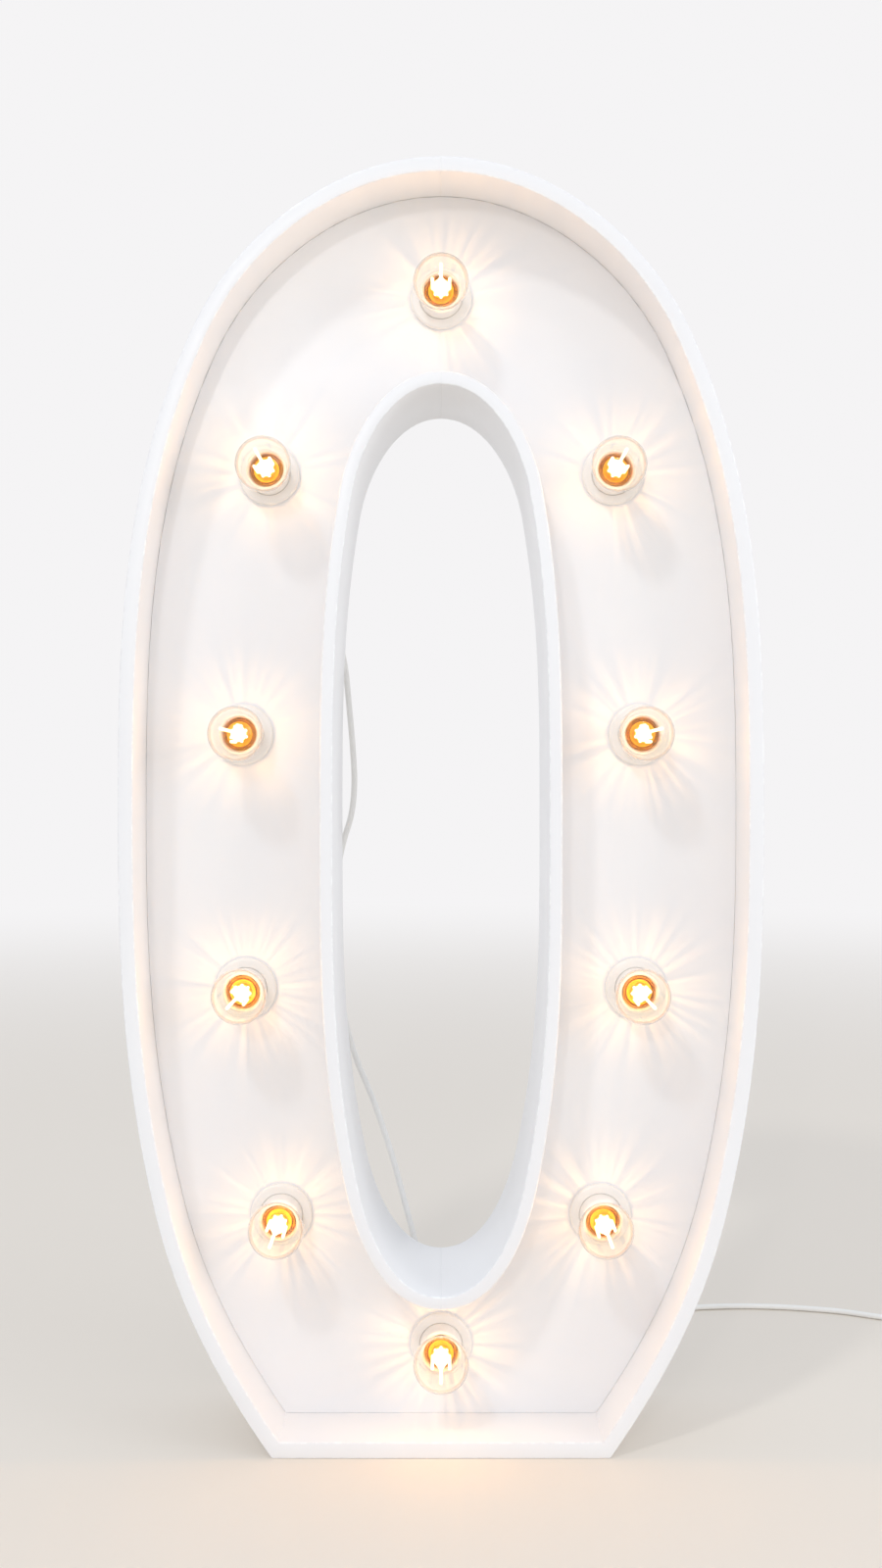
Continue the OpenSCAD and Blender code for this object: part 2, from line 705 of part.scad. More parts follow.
module plug_body() {
  end_r = plug_t / 2;
  module face(level, h) {
    for (side = [-1, 1]) translate([0, side * (plug_w / 2 - end_r), level])
      cylinder(r = end_r, h = h, $fn = 32);
  }
  color("white") on_plug() {
    hull() face(plug_taper_l, plug_front_l);
    hull() {
      face(plug_taper_l, 1);
      cylinder(r = plug_rear_r, h = 1, $fn = 32);
    }
  }
}

module plug_pins() {
  tip_h = 1;
  color("silver") on_plug() for (side = [-1, 1]) translate([0, side * pin_pitch / 2, plug_l]) {
    cylinder(r = pin_r, h = pin_l - tip_h);
    translate([0, 0, pin_l - tip_h]) cylinder(r1 = pin_r, r2 = pin_r - tip_h / 2, h = tip_h);
  }
}

side_wall(-1);  // side_wall_left
side_wall(1);  // side_wall_right
base_board();
counter_wall(-1);  // counter_wall_left
counter_wall(1);  // counter_wall_right
face_panel();
glue_blocks();
lampholder_barrels();
shade_rings();
lampholder_cores();
screw_shells();
centre_contacts();
lampholder_rear_caps();
loom_cable();
cable_clips();
terminal_rose_base();
terminal_rose_cover();
terminal_block();
cord_grip();
mains_cord();
cord_coil();
cord_tail();
cord_tie();
plug_body();
plug_pins();
for (i = [0:lamp_count - 1]) {
  bulb_glass(i);
  bulb_filament(i);
  bulb_cap(i);
}
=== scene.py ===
import math

import bmesh
import bpy
from mathutils import Matrix, Vector


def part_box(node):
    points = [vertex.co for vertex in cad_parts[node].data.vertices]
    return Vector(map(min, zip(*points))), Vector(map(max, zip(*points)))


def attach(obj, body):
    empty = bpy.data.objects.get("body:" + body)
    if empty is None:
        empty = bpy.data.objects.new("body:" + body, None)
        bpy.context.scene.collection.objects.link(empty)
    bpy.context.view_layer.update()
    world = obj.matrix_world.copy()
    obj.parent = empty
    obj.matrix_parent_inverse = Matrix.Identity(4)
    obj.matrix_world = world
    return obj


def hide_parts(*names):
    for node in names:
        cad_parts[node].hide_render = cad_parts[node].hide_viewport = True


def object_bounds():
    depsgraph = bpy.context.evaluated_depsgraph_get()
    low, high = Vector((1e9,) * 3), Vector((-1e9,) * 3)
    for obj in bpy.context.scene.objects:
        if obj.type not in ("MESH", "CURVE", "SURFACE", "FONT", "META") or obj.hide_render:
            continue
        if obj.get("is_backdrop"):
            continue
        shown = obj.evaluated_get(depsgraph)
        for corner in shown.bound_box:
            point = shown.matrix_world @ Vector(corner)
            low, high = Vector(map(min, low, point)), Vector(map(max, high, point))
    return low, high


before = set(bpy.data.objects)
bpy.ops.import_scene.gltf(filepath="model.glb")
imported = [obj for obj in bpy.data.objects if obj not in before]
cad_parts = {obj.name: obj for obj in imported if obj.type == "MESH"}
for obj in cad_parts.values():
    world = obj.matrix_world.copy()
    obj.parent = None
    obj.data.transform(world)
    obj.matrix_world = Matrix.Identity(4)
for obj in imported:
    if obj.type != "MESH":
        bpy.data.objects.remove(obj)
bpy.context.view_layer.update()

mm = 0.001

# Camera and studio
# The number is looked at straight from the front, at about its middle height, in white air over a pale floor.
# A far softbox high on the left throws long shadows, a lower lamp short ones, and a fill opens them up.
scene = bpy.context.scene
scene.view_settings.view_transform = "Standard"
long_side_px = 1600
focal_px = 1712
centre_rise_px = 25
camera_back = 1625 * mm
camera_h = 644 * mm
camera_data = bpy.data.cameras.new("camera")
camera_data.sensor_width = 36
camera_data.lens = camera_data.sensor_width * focal_px / long_side_px
camera_data.shift_y = -centre_rise_px / long_side_px
camera = bpy.data.objects.new("camera", camera_data)
camera.location = (0, -camera_back, camera_h)
camera.rotation_euler = (math.radians(90), 0, 0)
scene.collection.objects.link(camera)
scene.camera = camera


def linear(code):
    """Turns an sRGB hex colour into linear red, green, blue and alpha."""
    shares = [int(code[i:i + 2], 16) / 255 for i in (1, 3, 5)]
    return [c / 12.92 if c <= 0.04045 else ((c + 0.055) / 1.055) ** 2.4 for c in shares] + [1]


def add_node(tree, kind, inputs=None, **settings):
    """Adds a node, sets its properties, and sets or links its inputs."""
    made = tree.nodes.new(kind)
    for key, value in settings.items():
        setattr(made, key, value)
    for key, value in (inputs or {}).items():
        if isinstance(value, bpy.types.NodeSocket):
            tree.links.new(value, made.inputs[key])
        else:
            made.inputs[key].default_value = value
    return made


def start_material(name):
    """Makes a material with an output, and hands over its node tree and the object's coordinates."""
    material = bpy.data.materials.new(name)
    material.use_nodes = True
    tree = material.node_tree
    tree.nodes.clear()
    add_node(tree, "ShaderNodeOutputMaterial")
    return material, tree, add_node(tree, "ShaderNodeTexCoord").outputs["Object"]


def show(material, shader):
    """Links a shader to a material's output."""
    tree = material.node_tree
    tree.links.new(shader.outputs[0], tree.nodes["Material Output"].inputs["Surface"])


def seen_rays(tree):
    """Tells the rays that show the background, straight or by way of gloss and glass."""
    rays = add_node(tree, "ShaderNodeLightPath")
    by_way = add_node(tree, "ShaderNodeMath", {
        0: rays.outputs["Is Glossy Ray"], 1: rays.outputs["Is Transmission Ray"]}, operation="MAXIMUM")
    return add_node(tree, "ShaderNodeMath", {
        0: rays.outputs["Is Camera Ray"], 1: by_way.outputs[0]}, operation="MAXIMUM").outputs[0]


# Pale matt floor paint, which fades into the white air far from the number
air_white = "#F6F5F6"
air_glow = 0.99
floor_r = 9.0
fade_from = 1.3
fade_to = 6.0
floor_paint, tree, place = start_material("matt_floor_paint")
matt = add_node(tree, "ShaderNodeBsdfPrincipled", {"Base Color": linear("#E8DFD3"), "Roughness": 0.7})
far_air = add_node(tree, "ShaderNodeEmission", {"Color": linear(air_white), "Strength": air_glow})
away = add_node(tree, "ShaderNodeVectorMath", {0: place}, operation="LENGTH")
fade = add_node(tree, "ShaderNodeMapRange", {
    "Value": away.outputs["Value"], "From Min": fade_from, "From Max": fade_to},
    interpolation_type="SMOOTHSTEP")
share = add_node(tree, "ShaderNodeMath", {0: seen_rays(tree), 1: fade.outputs[0]}, operation="MULTIPLY")
show(floor_paint, add_node(tree, "ShaderNodeMixShader", {
    0: share.outputs[0], 1: matt.outputs[0], 2: far_air.outputs[0]}))

disc = bmesh.new()
bmesh.ops.create_circle(disc, cap_ends=True, segments=96, radius=floor_r)
floor_mesh = bpy.data.meshes.new("studio_floor")
disc.to_mesh(floor_mesh)
disc.free()
floor_mesh.materials.append(floor_paint)
studio_floor = bpy.data.objects.new("studio_floor", floor_mesh)
scene.collection.objects.link(studio_floor)
studio_floor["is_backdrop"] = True

# White air all round: the light that it gives is a little cooler than its look
air_light = 0.91
world = bpy.data.worlds.new("studio_air")
scene.world = world
world.use_nodes = True
tree = world.node_tree
lit_air = tree.nodes["Background"]
lit_air.inputs["Color"].default_value = linear("#F0F6FF")
lit_air.inputs["Strength"].default_value = air_light
seen_air = add_node(tree, "ShaderNodeBackground", {"Color": linear(air_white), "Strength": air_glow})
both_airs = add_node(tree, "ShaderNodeMixShader", {
    0: seen_rays(tree), 1: lit_air.outputs[0], 2: seen_air.outputs[0]})
tree.links.new(both_airs.outputs[0], tree.nodes["World Output"].inputs["Surface"])


def softbox(name, place, aim, size, watts):
    """Hangs a white softbox of a width and a height, which faces a point."""
    data = bpy.data.lights.new(name, "AREA")
    data.shape = "RECTANGLE"
    data.size, data.size_y = size
    data.energy = watts
    lamp = bpy.data.objects.new(name, data)
    lamp.location = place
    lamp.rotation_euler = (Vector(aim) - Vector(place)).to_track_quat("-Z", "Y").to_euler()
    lamp.visible_camera = False
    lamp.visible_transmission = False
    scene.collection.objects.link(lamp)


softbox("key_softbox", (-1.96, -4, 5.2), (0, 0, 0.6), (0.5, 0.5), 54)
softbox("fill_softbox", (2.8, -1.6, 1.3), (0, 0, 0.6), (1.6, 1.6), 16)
softbox("far_lamp", (-0.68, -4.05, 1.93), (0, 0, 0.9), (0.12, 0.26), 11)


# Outer walls and base board
# The walls are bent board, butted at the crown and mitred to the flat base board, then sprayed white.
# Their front and back edges are eased by sanding, and handling has rubbed the paint there, which also carries
# painted highlight flecks.
front_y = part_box("side_wall_left")[0].y
back_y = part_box("side_wall_left")[1].y
wall_t = 14 * mm
base_t = 15 * mm
eased_edge = 1.3 * mm
seam_edge = 0.35 * mm
handle_share = 0.35
# Each station is a place across, a height and the fall of the curve in degrees below level
outer_stations = [(0, 1200, 0), (230, 1040, 65.5), (298, 594, 90), (262, 220, 104), (156, 0, 125)]


def finished(name, bm, materials, body, *nodes):
    """Makes a piece of a mesh, and lets it ride on a body and stand for its nodes."""
    mesh = bpy.data.meshes.new(name)
    bm.to_mesh(mesh)
    bm.free()
    for material in materials:
        mesh.materials.append(material)
    for polygon in mesh.polygons:
        polygon.use_smooth = True
    mesh.set_sharp_from_angle(angle=math.radians(35))
    piece = bpy.data.objects.new(name, mesh)
    scene.collection.objects.link(piece)
    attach(piece, body)
    if nodes:
        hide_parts(*nodes)
    return piece


def outline(stations, y):
    """Makes the closed edge loop of a curve through stations and their mirror images."""
    path = bpy.data.curves.new("outline", "CURVE")
    path.dimensions = "3D"
    path.resolution_u = 20
    spline = path.splines.new("BEZIER")
    spline.use_cyclic_u = True
    right = []
    for x, z, fall in stations:
        turn = math.radians(fall)
        right.append((Vector((x * mm, y, z * mm)), Vector((math.cos(turn), 0, -math.sin(turn)))))
    left = [(place * Vector((-1, 1, 1)), heading * Vector((1, 1, -1)))
            for place, heading in reversed(right) if place.x > 0]
    loop = right + left
    spline.bezier_points.add(len(loop) - 1)
    for i, (place, heading) in enumerate(loop):
        before = loop[i - 1][0]
        after = loop[(i + 1) % len(loop)][0]
        point = spline.bezier_points[i]
        point.co = place
        point.handle_left_type = point.handle_right_type = "FREE"
        point.handle_left = place - heading * (place - before).length * handle_share
        point.handle_right = place + heading * (after - place).length * handle_share
        if before.z == place.z == 0:
            point.handle_left = place.lerp(before, handle_share)
        if after.z == place.z == 0:
            point.handle_right = place.lerp(after, handle_share)
    carrier = bpy.data.objects.new("outline", path)
    mesh = bpy.data.meshes.new_from_object(carrier)
    bm = bmesh.new()
    bm.from_mesh(mesh)
    bpy.data.objects.remove(carrier)
    bpy.data.meshes.remove(mesh)
    bmesh.ops.remove_doubles(bm, verts=bm.verts, dist=0.01 * mm)
    return bm


def band(stations, thickness):
    """Makes a closed wall of the full depth along an outline."""
    bm = outline(stations, front_y)
    face = bmesh.ops.contextual_create(bm, geom=bm.edges[:])["faces"][0]
    ring = bmesh.ops.inset_region(bm, faces=[face], thickness=thickness, use_even_offset=True,
                                  use_boundary=True)["faces"]
    bmesh.ops.delete(bm, geom=[face], context="FACES_ONLY")
    back = bmesh.ops.extrude_face_region(bm, geom=ring)["geom"]
    moved = [part for part in back if isinstance(part, bmesh.types.BMVert)]
    bmesh.ops.translate(bm, verts=moved, vec=(0, back_y - front_y, 0))
    bmesh.ops.recalc_face_normals(bm, faces=bm.faces)
    return bm


def ease(bm, edges, size, segments, finish=0):
    """Rounds edges, as sanding does, and gives the rounding one of the piece's finishes."""
    rounded = bmesh.ops.bevel(bm, geom=edges, offset=size, segments=segments, profile=0.5, affect="EDGES",
                              material=-1, clamp_overlap=True)["faces"]
    for face in rounded:
        face.material_index = finish


def cut(bm, *planes):
    """Keeps the side of each plane that its normal points to, and closes and eases the cuts."""
    for place, normal in planes:
        bmesh.ops.bisect_plane(bm, geom=bm.verts[:] + bm.edges[:] + bm.faces[:], plane_co=place,
                               plane_no=normal, clear_inner=True, dist=0.001 * mm)
        open_edges = [edge for edge in bm.edges if edge.is_boundary]
        caps = bmesh.ops.holes_fill(bm, edges=open_edges, sides=0)["faces"]
        bmesh.ops.recalc_face_normals(bm, faces=bm.faces)
        ease(bm, list({edge for cap in caps for edge in cap.edges}), seam_edge, 1)
    return bm


def sharp_edges(bm):
    """Lists the edges at which two faces meet at a clear angle."""
    least = math.radians(40)
    return [edge for edge in bm.edges if len(edge.link_faces) == 2 and edge.calc_face_angle() > least]


# Satin white paint, sprayed: an orange peel that breaks up reflections, drawn a little coarse to show,
# faint clouds in the white, and a gloss that changes from place to place.
paint, tree, place = start_material("sprayed_satin_paint")
peel_mm = 4
cloud_mm = 150
gloss_mm = 60
peel = add_node(tree, "ShaderNodeTexNoise", {"Vector": place, "Scale": 1 / (peel_mm * mm), "Detail": 2})
clouds = add_node(tree, "ShaderNodeTexNoise", {"Vector": place, "Scale": 1 / (cloud_mm * mm), "Detail": 1})
gloss = add_node(tree, "ShaderNodeTexNoise", {"Vector": place, "Scale": 1 / (gloss_mm * mm), "Detail": 2})
colour_a = 6
colour_b = 7
mixed_colour = 2
white = add_node(tree, "ShaderNodeMix", {
    "Factor": clouds.outputs["Fac"], colour_a: linear("#F0EFF0"), colour_b: linear("#F4F4F4")},
    data_type="RGBA")
rough = add_node(tree, "ShaderNodeMapRange", {
    "Value": gloss.outputs["Fac"], "From Min": 0.35, "From Max": 0.7, "To Min": 0.29, "To Max": 0.36})
bump = add_node(tree, "ShaderNodeBump", {
    "Height": peel.outputs["Fac"], "Strength": 0.05, "Distance": 0.25 * mm})
show(paint, add_node(tree, "ShaderNodeBsdfPrincipled", {
    "Base Color": white.outputs[mixed_colour], "Roughness": rough.outputs[0], "Normal": bump.outputs[0],
    "IOR": 1.5}))

# The same paint where hands and sanding rubbed the edges: polished flecks, painted brighter as highlights,
# between dull ones.
rubbed_and_highlit, tree, place = start_material("rubbed_paint_edge_painted_highlights")
fleck_mm = 6
flecks = add_node(tree, "ShaderNodeTexNoise", {
    "Vector": place, "Scale": 1 / (fleck_mm * mm), "Detail": 5, "Roughness": 0.7})
# The fleck mask sets the rub's gloss and also lifts the colour to a brighter white as a painted highlight.
wear_and_highlight = add_node(tree, "ShaderNodeMapRange", {
    "Value": flecks.outputs["Fac"], "From Min": 0.46, "From Max": 0.6})
tone_with_highlights = add_node(tree, "ShaderNodeMix", {
    "Factor": wear_and_highlight.outputs[0], colour_a: linear("#EEEDEE"), colour_b: linear("#FBFBFB")}, data_type="RGBA")
polish = add_node(tree, "ShaderNodeMapRange", {"Value": wear_and_highlight.outputs[0], "To Min": 0.42, "To Max": 0.16})
bump = add_node(tree, "ShaderNodeBump", {
    "Height": wear_and_highlight.outputs[0], "Strength": 0.15, "Distance": 0.2 * mm})
show(rubbed_and_highlit, add_node(tree, "ShaderNodeBsdfPrincipled", {
    "Base Color": tone_with_highlights.outputs[mixed_colour], "Roughness": polish.outputs[0], "Normal": bump.outputs[0],
    "IOR": 1.5}))

foot_x = outer_stations[-1][0] * mm
corner_x = 149.32 * mm
near = 2 * mm
same_level = 0.5 * mm
walls = band(outer_stations, wall_t)
for vert in walls.verts:
    if abs(vert.co.z - wall_t) < same_level and abs(vert.co.x) < corner_x + near:
        vert.co.z = base_t
        if abs(vert.co.x) > corner_x - near:
            vert.co.x = math.copysign(corner_x, vert.co.x)
ease(walls, sharp_edges(walls), eased_edge, 3, finish=1)
mitre = Vector((base_t, 0, foot_x - corner_x)).normalized()
flip = Vector((-1, 1, 1))
middle_right = (Vector((0, 0, 0)), Vector((1, 0, 0)))
middle_left = (Vector((0, 0, 0)), Vector((-1, 0, 0)))
right_foot = Vector((foot_x, 0, 0))
over_right = (right_foot, mitre)
over_left = (right_foot * flip, mitre * flip)
under_right = (right_foot, -mitre)
under_left = (right_foot * flip, -mitre * flip)
wall_cuts = {
    "outer_wall_right": ("side_wall_right", middle_right, over_right),
    "outer_wall_left": ("side_wall_left", middle_left, over_left),
    "floor_board": ("base_board", under_right, under_left),
}
for name, (node, *planes) in wall_cuts.items():
    piece = finished(name, cut(walls.copy(), *planes), [paint, rubbed_and_highlit], "body", node)
walls.free()

# Wall round the hole
# Two bent strips meet at the top and the bottom of the hole, in the same paint as the outer walls.
# They run the full depth, so the front edge lies level with the outer one.
hole_wall_t = 12 * mm
hole_stations = [(0, 990, 0), (82, 890, 80), (100, 572, 90), (76.5, 250, 102), (0, 148.5, 180)]
hole_band = band(hole_stations, -hole_wall_t)
# The eased edges take the rubbed paint, with its painted highlight flecks.
ease(hole_band, sharp_edges(hole_band), eased_edge, 3, finish=1)
for side, plane in (("right", middle_right), ("left", middle_left)):
    piece = finished("hole_wall_" + side, cut(hole_band.copy(), plane), [paint, rubbed_and_highlit], "body",
                     "counter_wall_" + side)
hole_band.free()

# Face panel
# A flat board lies between the walls, and its ten round holes are covered by the lampholders.
# It has the same paint as the walls.
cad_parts["face_panel"].material_slots[0].material = paint

# Glue blocks
# Square blocks of bare pine hold the panel to the walls from behind, glued in their corners.
# They were sawn from strip, so the grain runs up and down.
pine, tree, place = start_material("sawn_pine")
ring_mm = 3
grain_mm = 70
grain = add_node(tree, "ShaderNodeMapping", {
    "Vector": place, "Scale": (1 / (ring_mm * mm), 1 / (ring_mm * mm), 1 / (grain_mm * mm))})
rings = add_node(tree, "ShaderNodeTexNoise", {"Vector": grain.outputs[0], "Scale": 1, "Detail": 4})
wood = add_node(tree, "ShaderNodeMix", {
    "Factor": rings.outputs["Fac"], colour_a: linear("#E3C596"), colour_b: linear("#B98D55")},
    data_type="RGBA")
bump = add_node(tree, "ShaderNodeBump", {
    "Height": rings.outputs["Fac"], "Strength": 0.3, "Distance": 0.3 * mm})
show(pine, add_node(tree, "ShaderNodeBsdfPrincipled", {
    "Base Color": wood.outputs[mixed_colour], "Roughness": 0.7, "Normal": bump.outputs[0]}))
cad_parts["glue_blocks"].material_slots[0].material = pine

# Lampholders
# Ten moulded holders go through the panel from behind, and each is held by its flange and a shade ring.
# The thick rim of the barrel is fully round, and a fine dark gap shows between barrel and ring.
panel_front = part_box("face_panel")[0].y
panel_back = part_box("face_panel")[1].y
lamps = {}
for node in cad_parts:
    if node.startswith("bulb_cap_"):
        low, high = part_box(node)
        stand = Matrix.Translation(((low.x + high.x) / 2, panel_front, (low.z + high.z) / 2))
        lamps[node.removeprefix("bulb_cap_")] = stand @ Matrix.Rotation(math.pi / 2, 4, "X")


def arc(centre, r, start, stop, steps=6):
    """Lists the points of an arc in a profile, between two angles in degrees."""
    turns = [math.radians(start + (stop - start) * i / steps) for i in range(steps + 1)]
    return [(centre[0] + r * math.cos(turn), centre[1] + r * math.sin(turn)) for turn in turns]


def turned(profile, steps=64):
    """Turns a profile of radii and reaches in millimetres about Z, as a lathe does."""
    bm = bmesh.new()
    verts = [bm.verts.new((r * mm, 0, reach * mm)) for r, reach in profile]
    edges = [bm.edges.new(pair) for pair in zip(verts, verts[1:])]
    bmesh.ops.spin(bm, geom=verts + edges, cent=(0, 0, 0), axis=(0, 0, 1), angle=2 * math.pi, steps=steps,
                   use_merge=True)
    bmesh.ops.remove_doubles(bm, verts=bm.verts, dist=0.01 * mm)
    bmesh.ops.recalc_face_normals(bm, faces=bm.faces)
    return bm


def add_copies(whole, template, places):
    """Adds a copy of a shape at each place to a mesh."""
    for place in places:
        copy = bpy.data.meshes.new("copy")
        template.to_mesh(copy)
        copy.transform(place)
        whole.from_mesh(copy)
        bpy.data.meshes.remove(copy)
    template.free()
    return whole


# White thermoplastic, moulded: a soft gloss with a faint waviness from the mould.
moulded, tree, place = start_material("moulded_white_plastic")
flow_mm = 14
flow = add_node(tree, "ShaderNodeTexNoise", {"Vector": place, "Scale": 1 / (flow_mm * mm), "Detail": 3})
cream = add_node(tree, "ShaderNodeMix", {
    "Factor": flow.outputs["Fac"], colour_a: linear("#F6F1EA"), colour_b: linear("#FBF7F2")},
    data_type="RGBA")
bump = add_node(tree, "ShaderNodeBump", {
    "Height": flow.outputs["Fac"], "Strength": 0.1, "Distance": 0.2 * mm})
show(moulded, add_node(tree, "ShaderNodeBsdfPrincipled", {
    "Base Color": cream.outputs[mixed_colour], "Roughness": 0.3, "Normal": bump.outputs[0], "IOR": 1.5}))

barrel_r = 20.4
rim_r = 20.0
bore_r = 15.6
flange_r = 25
flange_back = -16
flange_front = -12
flange_edge = 0.8
ring_t = 6
barrel_reach = 26
lip_r = (rim_r - bore_r) / 2
barrel_profile = [(bore_r, flange_back)]
barrel_profile += arc((flange_r - flange_edge, flange_back + flange_edge), flange_edge, -90, 0, 3)
barrel_profile += arc((flange_r - flange_edge, flange_front - flange_edge), flange_edge, 0, 90, 3)
barrel_profile += [(barrel_r, flange_front), (barrel_r, ring_t)]
barrel_profile += arc((bore_r + lip_r, barrel_reach - lip_r), lip_r, 0, 180, 12)
barrel_profile += [(bore_r, flange_back)]
barrels = finished("holder_barrels", add_copies(bmesh.new(), turned(barrel_profile), lamps.values()),
                   [moulded], "body", "lampholder_barrels")

ring_bore_r = 20.6
ring_r = 29.3
ring_edge = 2.5
ring_chamfer = 0.4
ring_profile = [(ring_bore_r, 0), (ring_r, 0)]
ring_profile += arc((ring_r - ring_edge, ring_t - ring_edge), ring_edge, 0, 90, 8)
ring_profile += [(ring_bore_r + ring_chamfer, ring_t), (ring_bore_r, ring_t - ring_chamfer), (ring_bore_r, 0)]
shade_rings = finished("holder_shade_rings", add_copies(bmesh.new(), turned(ring_profile), lamps.values()),
                       [moulded], "body", "shade_rings")

# Holder insides
# A cream insulating core carries a pressed brass screw shell and a brass centre contact.
# They sit deep in the barrel, behind the bulb's cap.
# Phenolic resin, moulded: cream with fine darker specks.
insulator, tree, place = start_material("moulded_cream_resin")
speck_mm = 1.5
specks = add_node(tree, "ShaderNodeTexNoise", {"Vector": place, "Scale": 1 / (speck_mm * mm), "Detail": 2})
resin = add_node(tree, "ShaderNodeMix", {
    "Factor": specks.outputs["Fac"], colour_a: linear("#D9CDB4"), colour_b: linear("#EFE6D2")},
    data_type="RGBA")
show(insulator, add_node(tree, "ShaderNodeBsdfPrincipled", {
    "Base Color": resin.outputs[mixed_colour], "Roughness": 0.5}))
# Brass sheet, pressed: a yellow metal with patches of tarnish that dull it.
brass, tree, place = start_material("pressed_brass")
tarnish_mm = 5
tarnish = add_node(tree, "ShaderNodeTexNoise", {"Vector": place, "Scale": 1 / (tarnish_mm * mm), "Detail": 4})
dulled = add_node(tree, "ShaderNodeMapRange", {
    "Value": tarnish.outputs["Fac"], "To Min": 0.22, "To Max": 0.42})
show(brass, add_node(tree, "ShaderNodeBsdfPrincipled", {
    "Base Color": linear("#D8B25E"), "Metallic": 1, "Roughness": dulled.outputs[0]}))
for node in ("lampholder_cores", "terminal_block"):
    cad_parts[node].material_slots[0].material = insulator
for node in ("screw_shells", "centre_contacts"):
    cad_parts[node].material_slots[0].material = brass

# Rear caps
# A fluted cap of the holders' plastic closes each holder behind the panel, pushed on over the terminals.
# Round entries in its flanks let the loom in and out.
low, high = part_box("loom_cable")
loom_y = (low.y + high.y) / 2
low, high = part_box("terminal_rose_base")
rose = Vector(((low.x + high.x) / 2, loom_y, (low.z + high.z) / 2))
loom_order = ["bottom", "foot_right", "lower_right", "upper_right", "shoulder_right", "top", "shoulder_left",
              "rose", "upper_left", "lower_left", "foot_left"]
stops = []
for name in loom_order:
    at = rose if name == "rose" else lamps[name].translation
    stops.append(Vector((at.x, loom_y, at.z)))
rose_stop = loom_order.index("rose")


def toward(start, end):
    """Turns Z from one stop of the loom to another."""
    return Matrix.Translation(start) @ (end - start).to_track_quat("Z", "Y").to_matrix().to_4x4()


lamp_entries = []
rose_entries = []
for i in range(len(stops) - 1):
    (rose_entries if i == rose_stop else lamp_entries).append(toward(stops[i], stops[i + 1]))
    (rose_entries if i + 1 == rose_stop else lamp_entries).append(toward(stops[i + 1], stops[i]))

entry_r = 5.35
cable_bore_r = 3.35
entry_edge = 0.7


def entry(root, reach):
    """Makes a cable entry, from inside its housing out to its rounded mouth."""
    profile = [(cable_bore_r, root), (entry_r, root)]
    profile += arc((entry_r - entry_edge, reach - entry_edge), entry_edge, 0, 90, 4)
    profile += arc((cable_bore_r + entry_edge, reach - entry_edge), entry_edge, 90, 180, 4)
    return turned(profile + [(cable_bore_r, root)], 32)


cap_r = 23.5
cap_end_r = 16
cap_end = -48
cap_round = 4
cap_lip = 2
cap_flare = 0.94
flank_foot = (cap_end_r + cap_flare, cap_end + cap_round)
flank_head = (cap_r - cap_flare / 2, flange_back - cap_lip)
cap_steps = 72
columns_per_flute = 3
flute_depth = 0.6 * mm
flute_edge = 0.35 * mm
cap_profile = [(0, cap_end)]
cap_profile += arc((cap_end_r - cap_round + cap_flare, cap_end + cap_round), cap_round, -90, 0, 6)
cap_profile += [flank_head, (cap_r, flange_back - cap_lip / 2), (cap_r, flange_back), (0, flange_back)]
rear_cap = turned(cap_profile, cap_steps)
flank_mid = (flank_foot[1] + flank_head[1]) / 2 * mm
column = 2 * math.pi / cap_steps
fluted = []
for face in rear_cap.faces:
    at = face.calc_center_median()
    turn = math.atan2(at.y, at.x) % (2 * math.pi)
    if abs(at.z - flank_mid) < mm and int(turn / column) % columns_per_flute:
        fluted.append(face)
bmesh.ops.inset_region(rear_cap, faces=fluted, thickness=flute_edge, depth=-flute_depth, use_even_offset=True,
                       use_boundary=True)
entry_root = 14
entry_reach = 27
rear_caps = add_copies(bmesh.new(), rear_cap, lamps.values())
add_copies(rear_caps, entry(entry_root, entry_reach), lamp_entries)
piece = finished("holder_rear_caps", rear_caps, [moulded], "body", "lampholder_rear_caps")

# Loom cable
# A round white cable runs from holder to holder behind the panel, one length for each link.
# Soft PVC, extruded: an even satin sheath, a little uneven along its length.
sheath, tree, place = start_material("white_pvc_sheath")
wave_mm = 9
wave = add_node(tree, "ShaderNodeTexNoise", {"Vector": place, "Scale": 1 / (wave_mm * mm), "Detail": 2})
milk = add_node(tree, "ShaderNodeMix", {
    "Factor": wave.outputs["Fac"], colour_a: linear("#F1EFEA"), colour_b: linear("#F8F6F2")},
    data_type="RGBA")
bump = add_node(tree, "ShaderNodeBump", {
    "Height": wave.outputs["Fac"], "Strength": 0.15, "Distance": 0.3 * mm})
show(sheath, add_node(tree, "ShaderNodeBsdfPrincipled", {
    "Base Color": milk.outputs[mixed_colour], "Roughness": 0.4, "Normal": bump.outputs[0], "IOR": 1.5}))
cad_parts["loom_cable"].material_slots[0].material = sheath

# Cable clips
# A moulded saddle stands on the panel half way along each link and holds the cable.
# A nail through the boss beside it fixes it to the panel.
clip_l = 9 * mm
clip_edge = 0.5 * mm
stand_h = (loom_y - panel_back) / mm


def plate(outer, inner, depth):
    """Makes a plate between an outer and an inner loop of points in millimetres, of a depth along Z."""
    bm = bmesh.new()
    edges = []
    for loop in (outer, inner):
        verts = [bm.verts.new((x * mm, y * mm, 0)) for x, y in loop]
        edges += [bm.edges.new((verts[i - 1], verts[i])) for i in range(len(verts))]
    faces = bmesh.ops.bridge_loops(bm, edges=edges)["faces"]
    lifted = bmesh.ops.extrude_face_region(bm, geom=faces)["geom"]
    moved = [part for part in lifted if isinstance(part, bmesh.types.BMVert)]
    bmesh.ops.translate(bm, verts=moved, vec=(0, 0, depth))
    bmesh.ops.recalc_face_normals(bm, faces=bm.faces)
    return bm


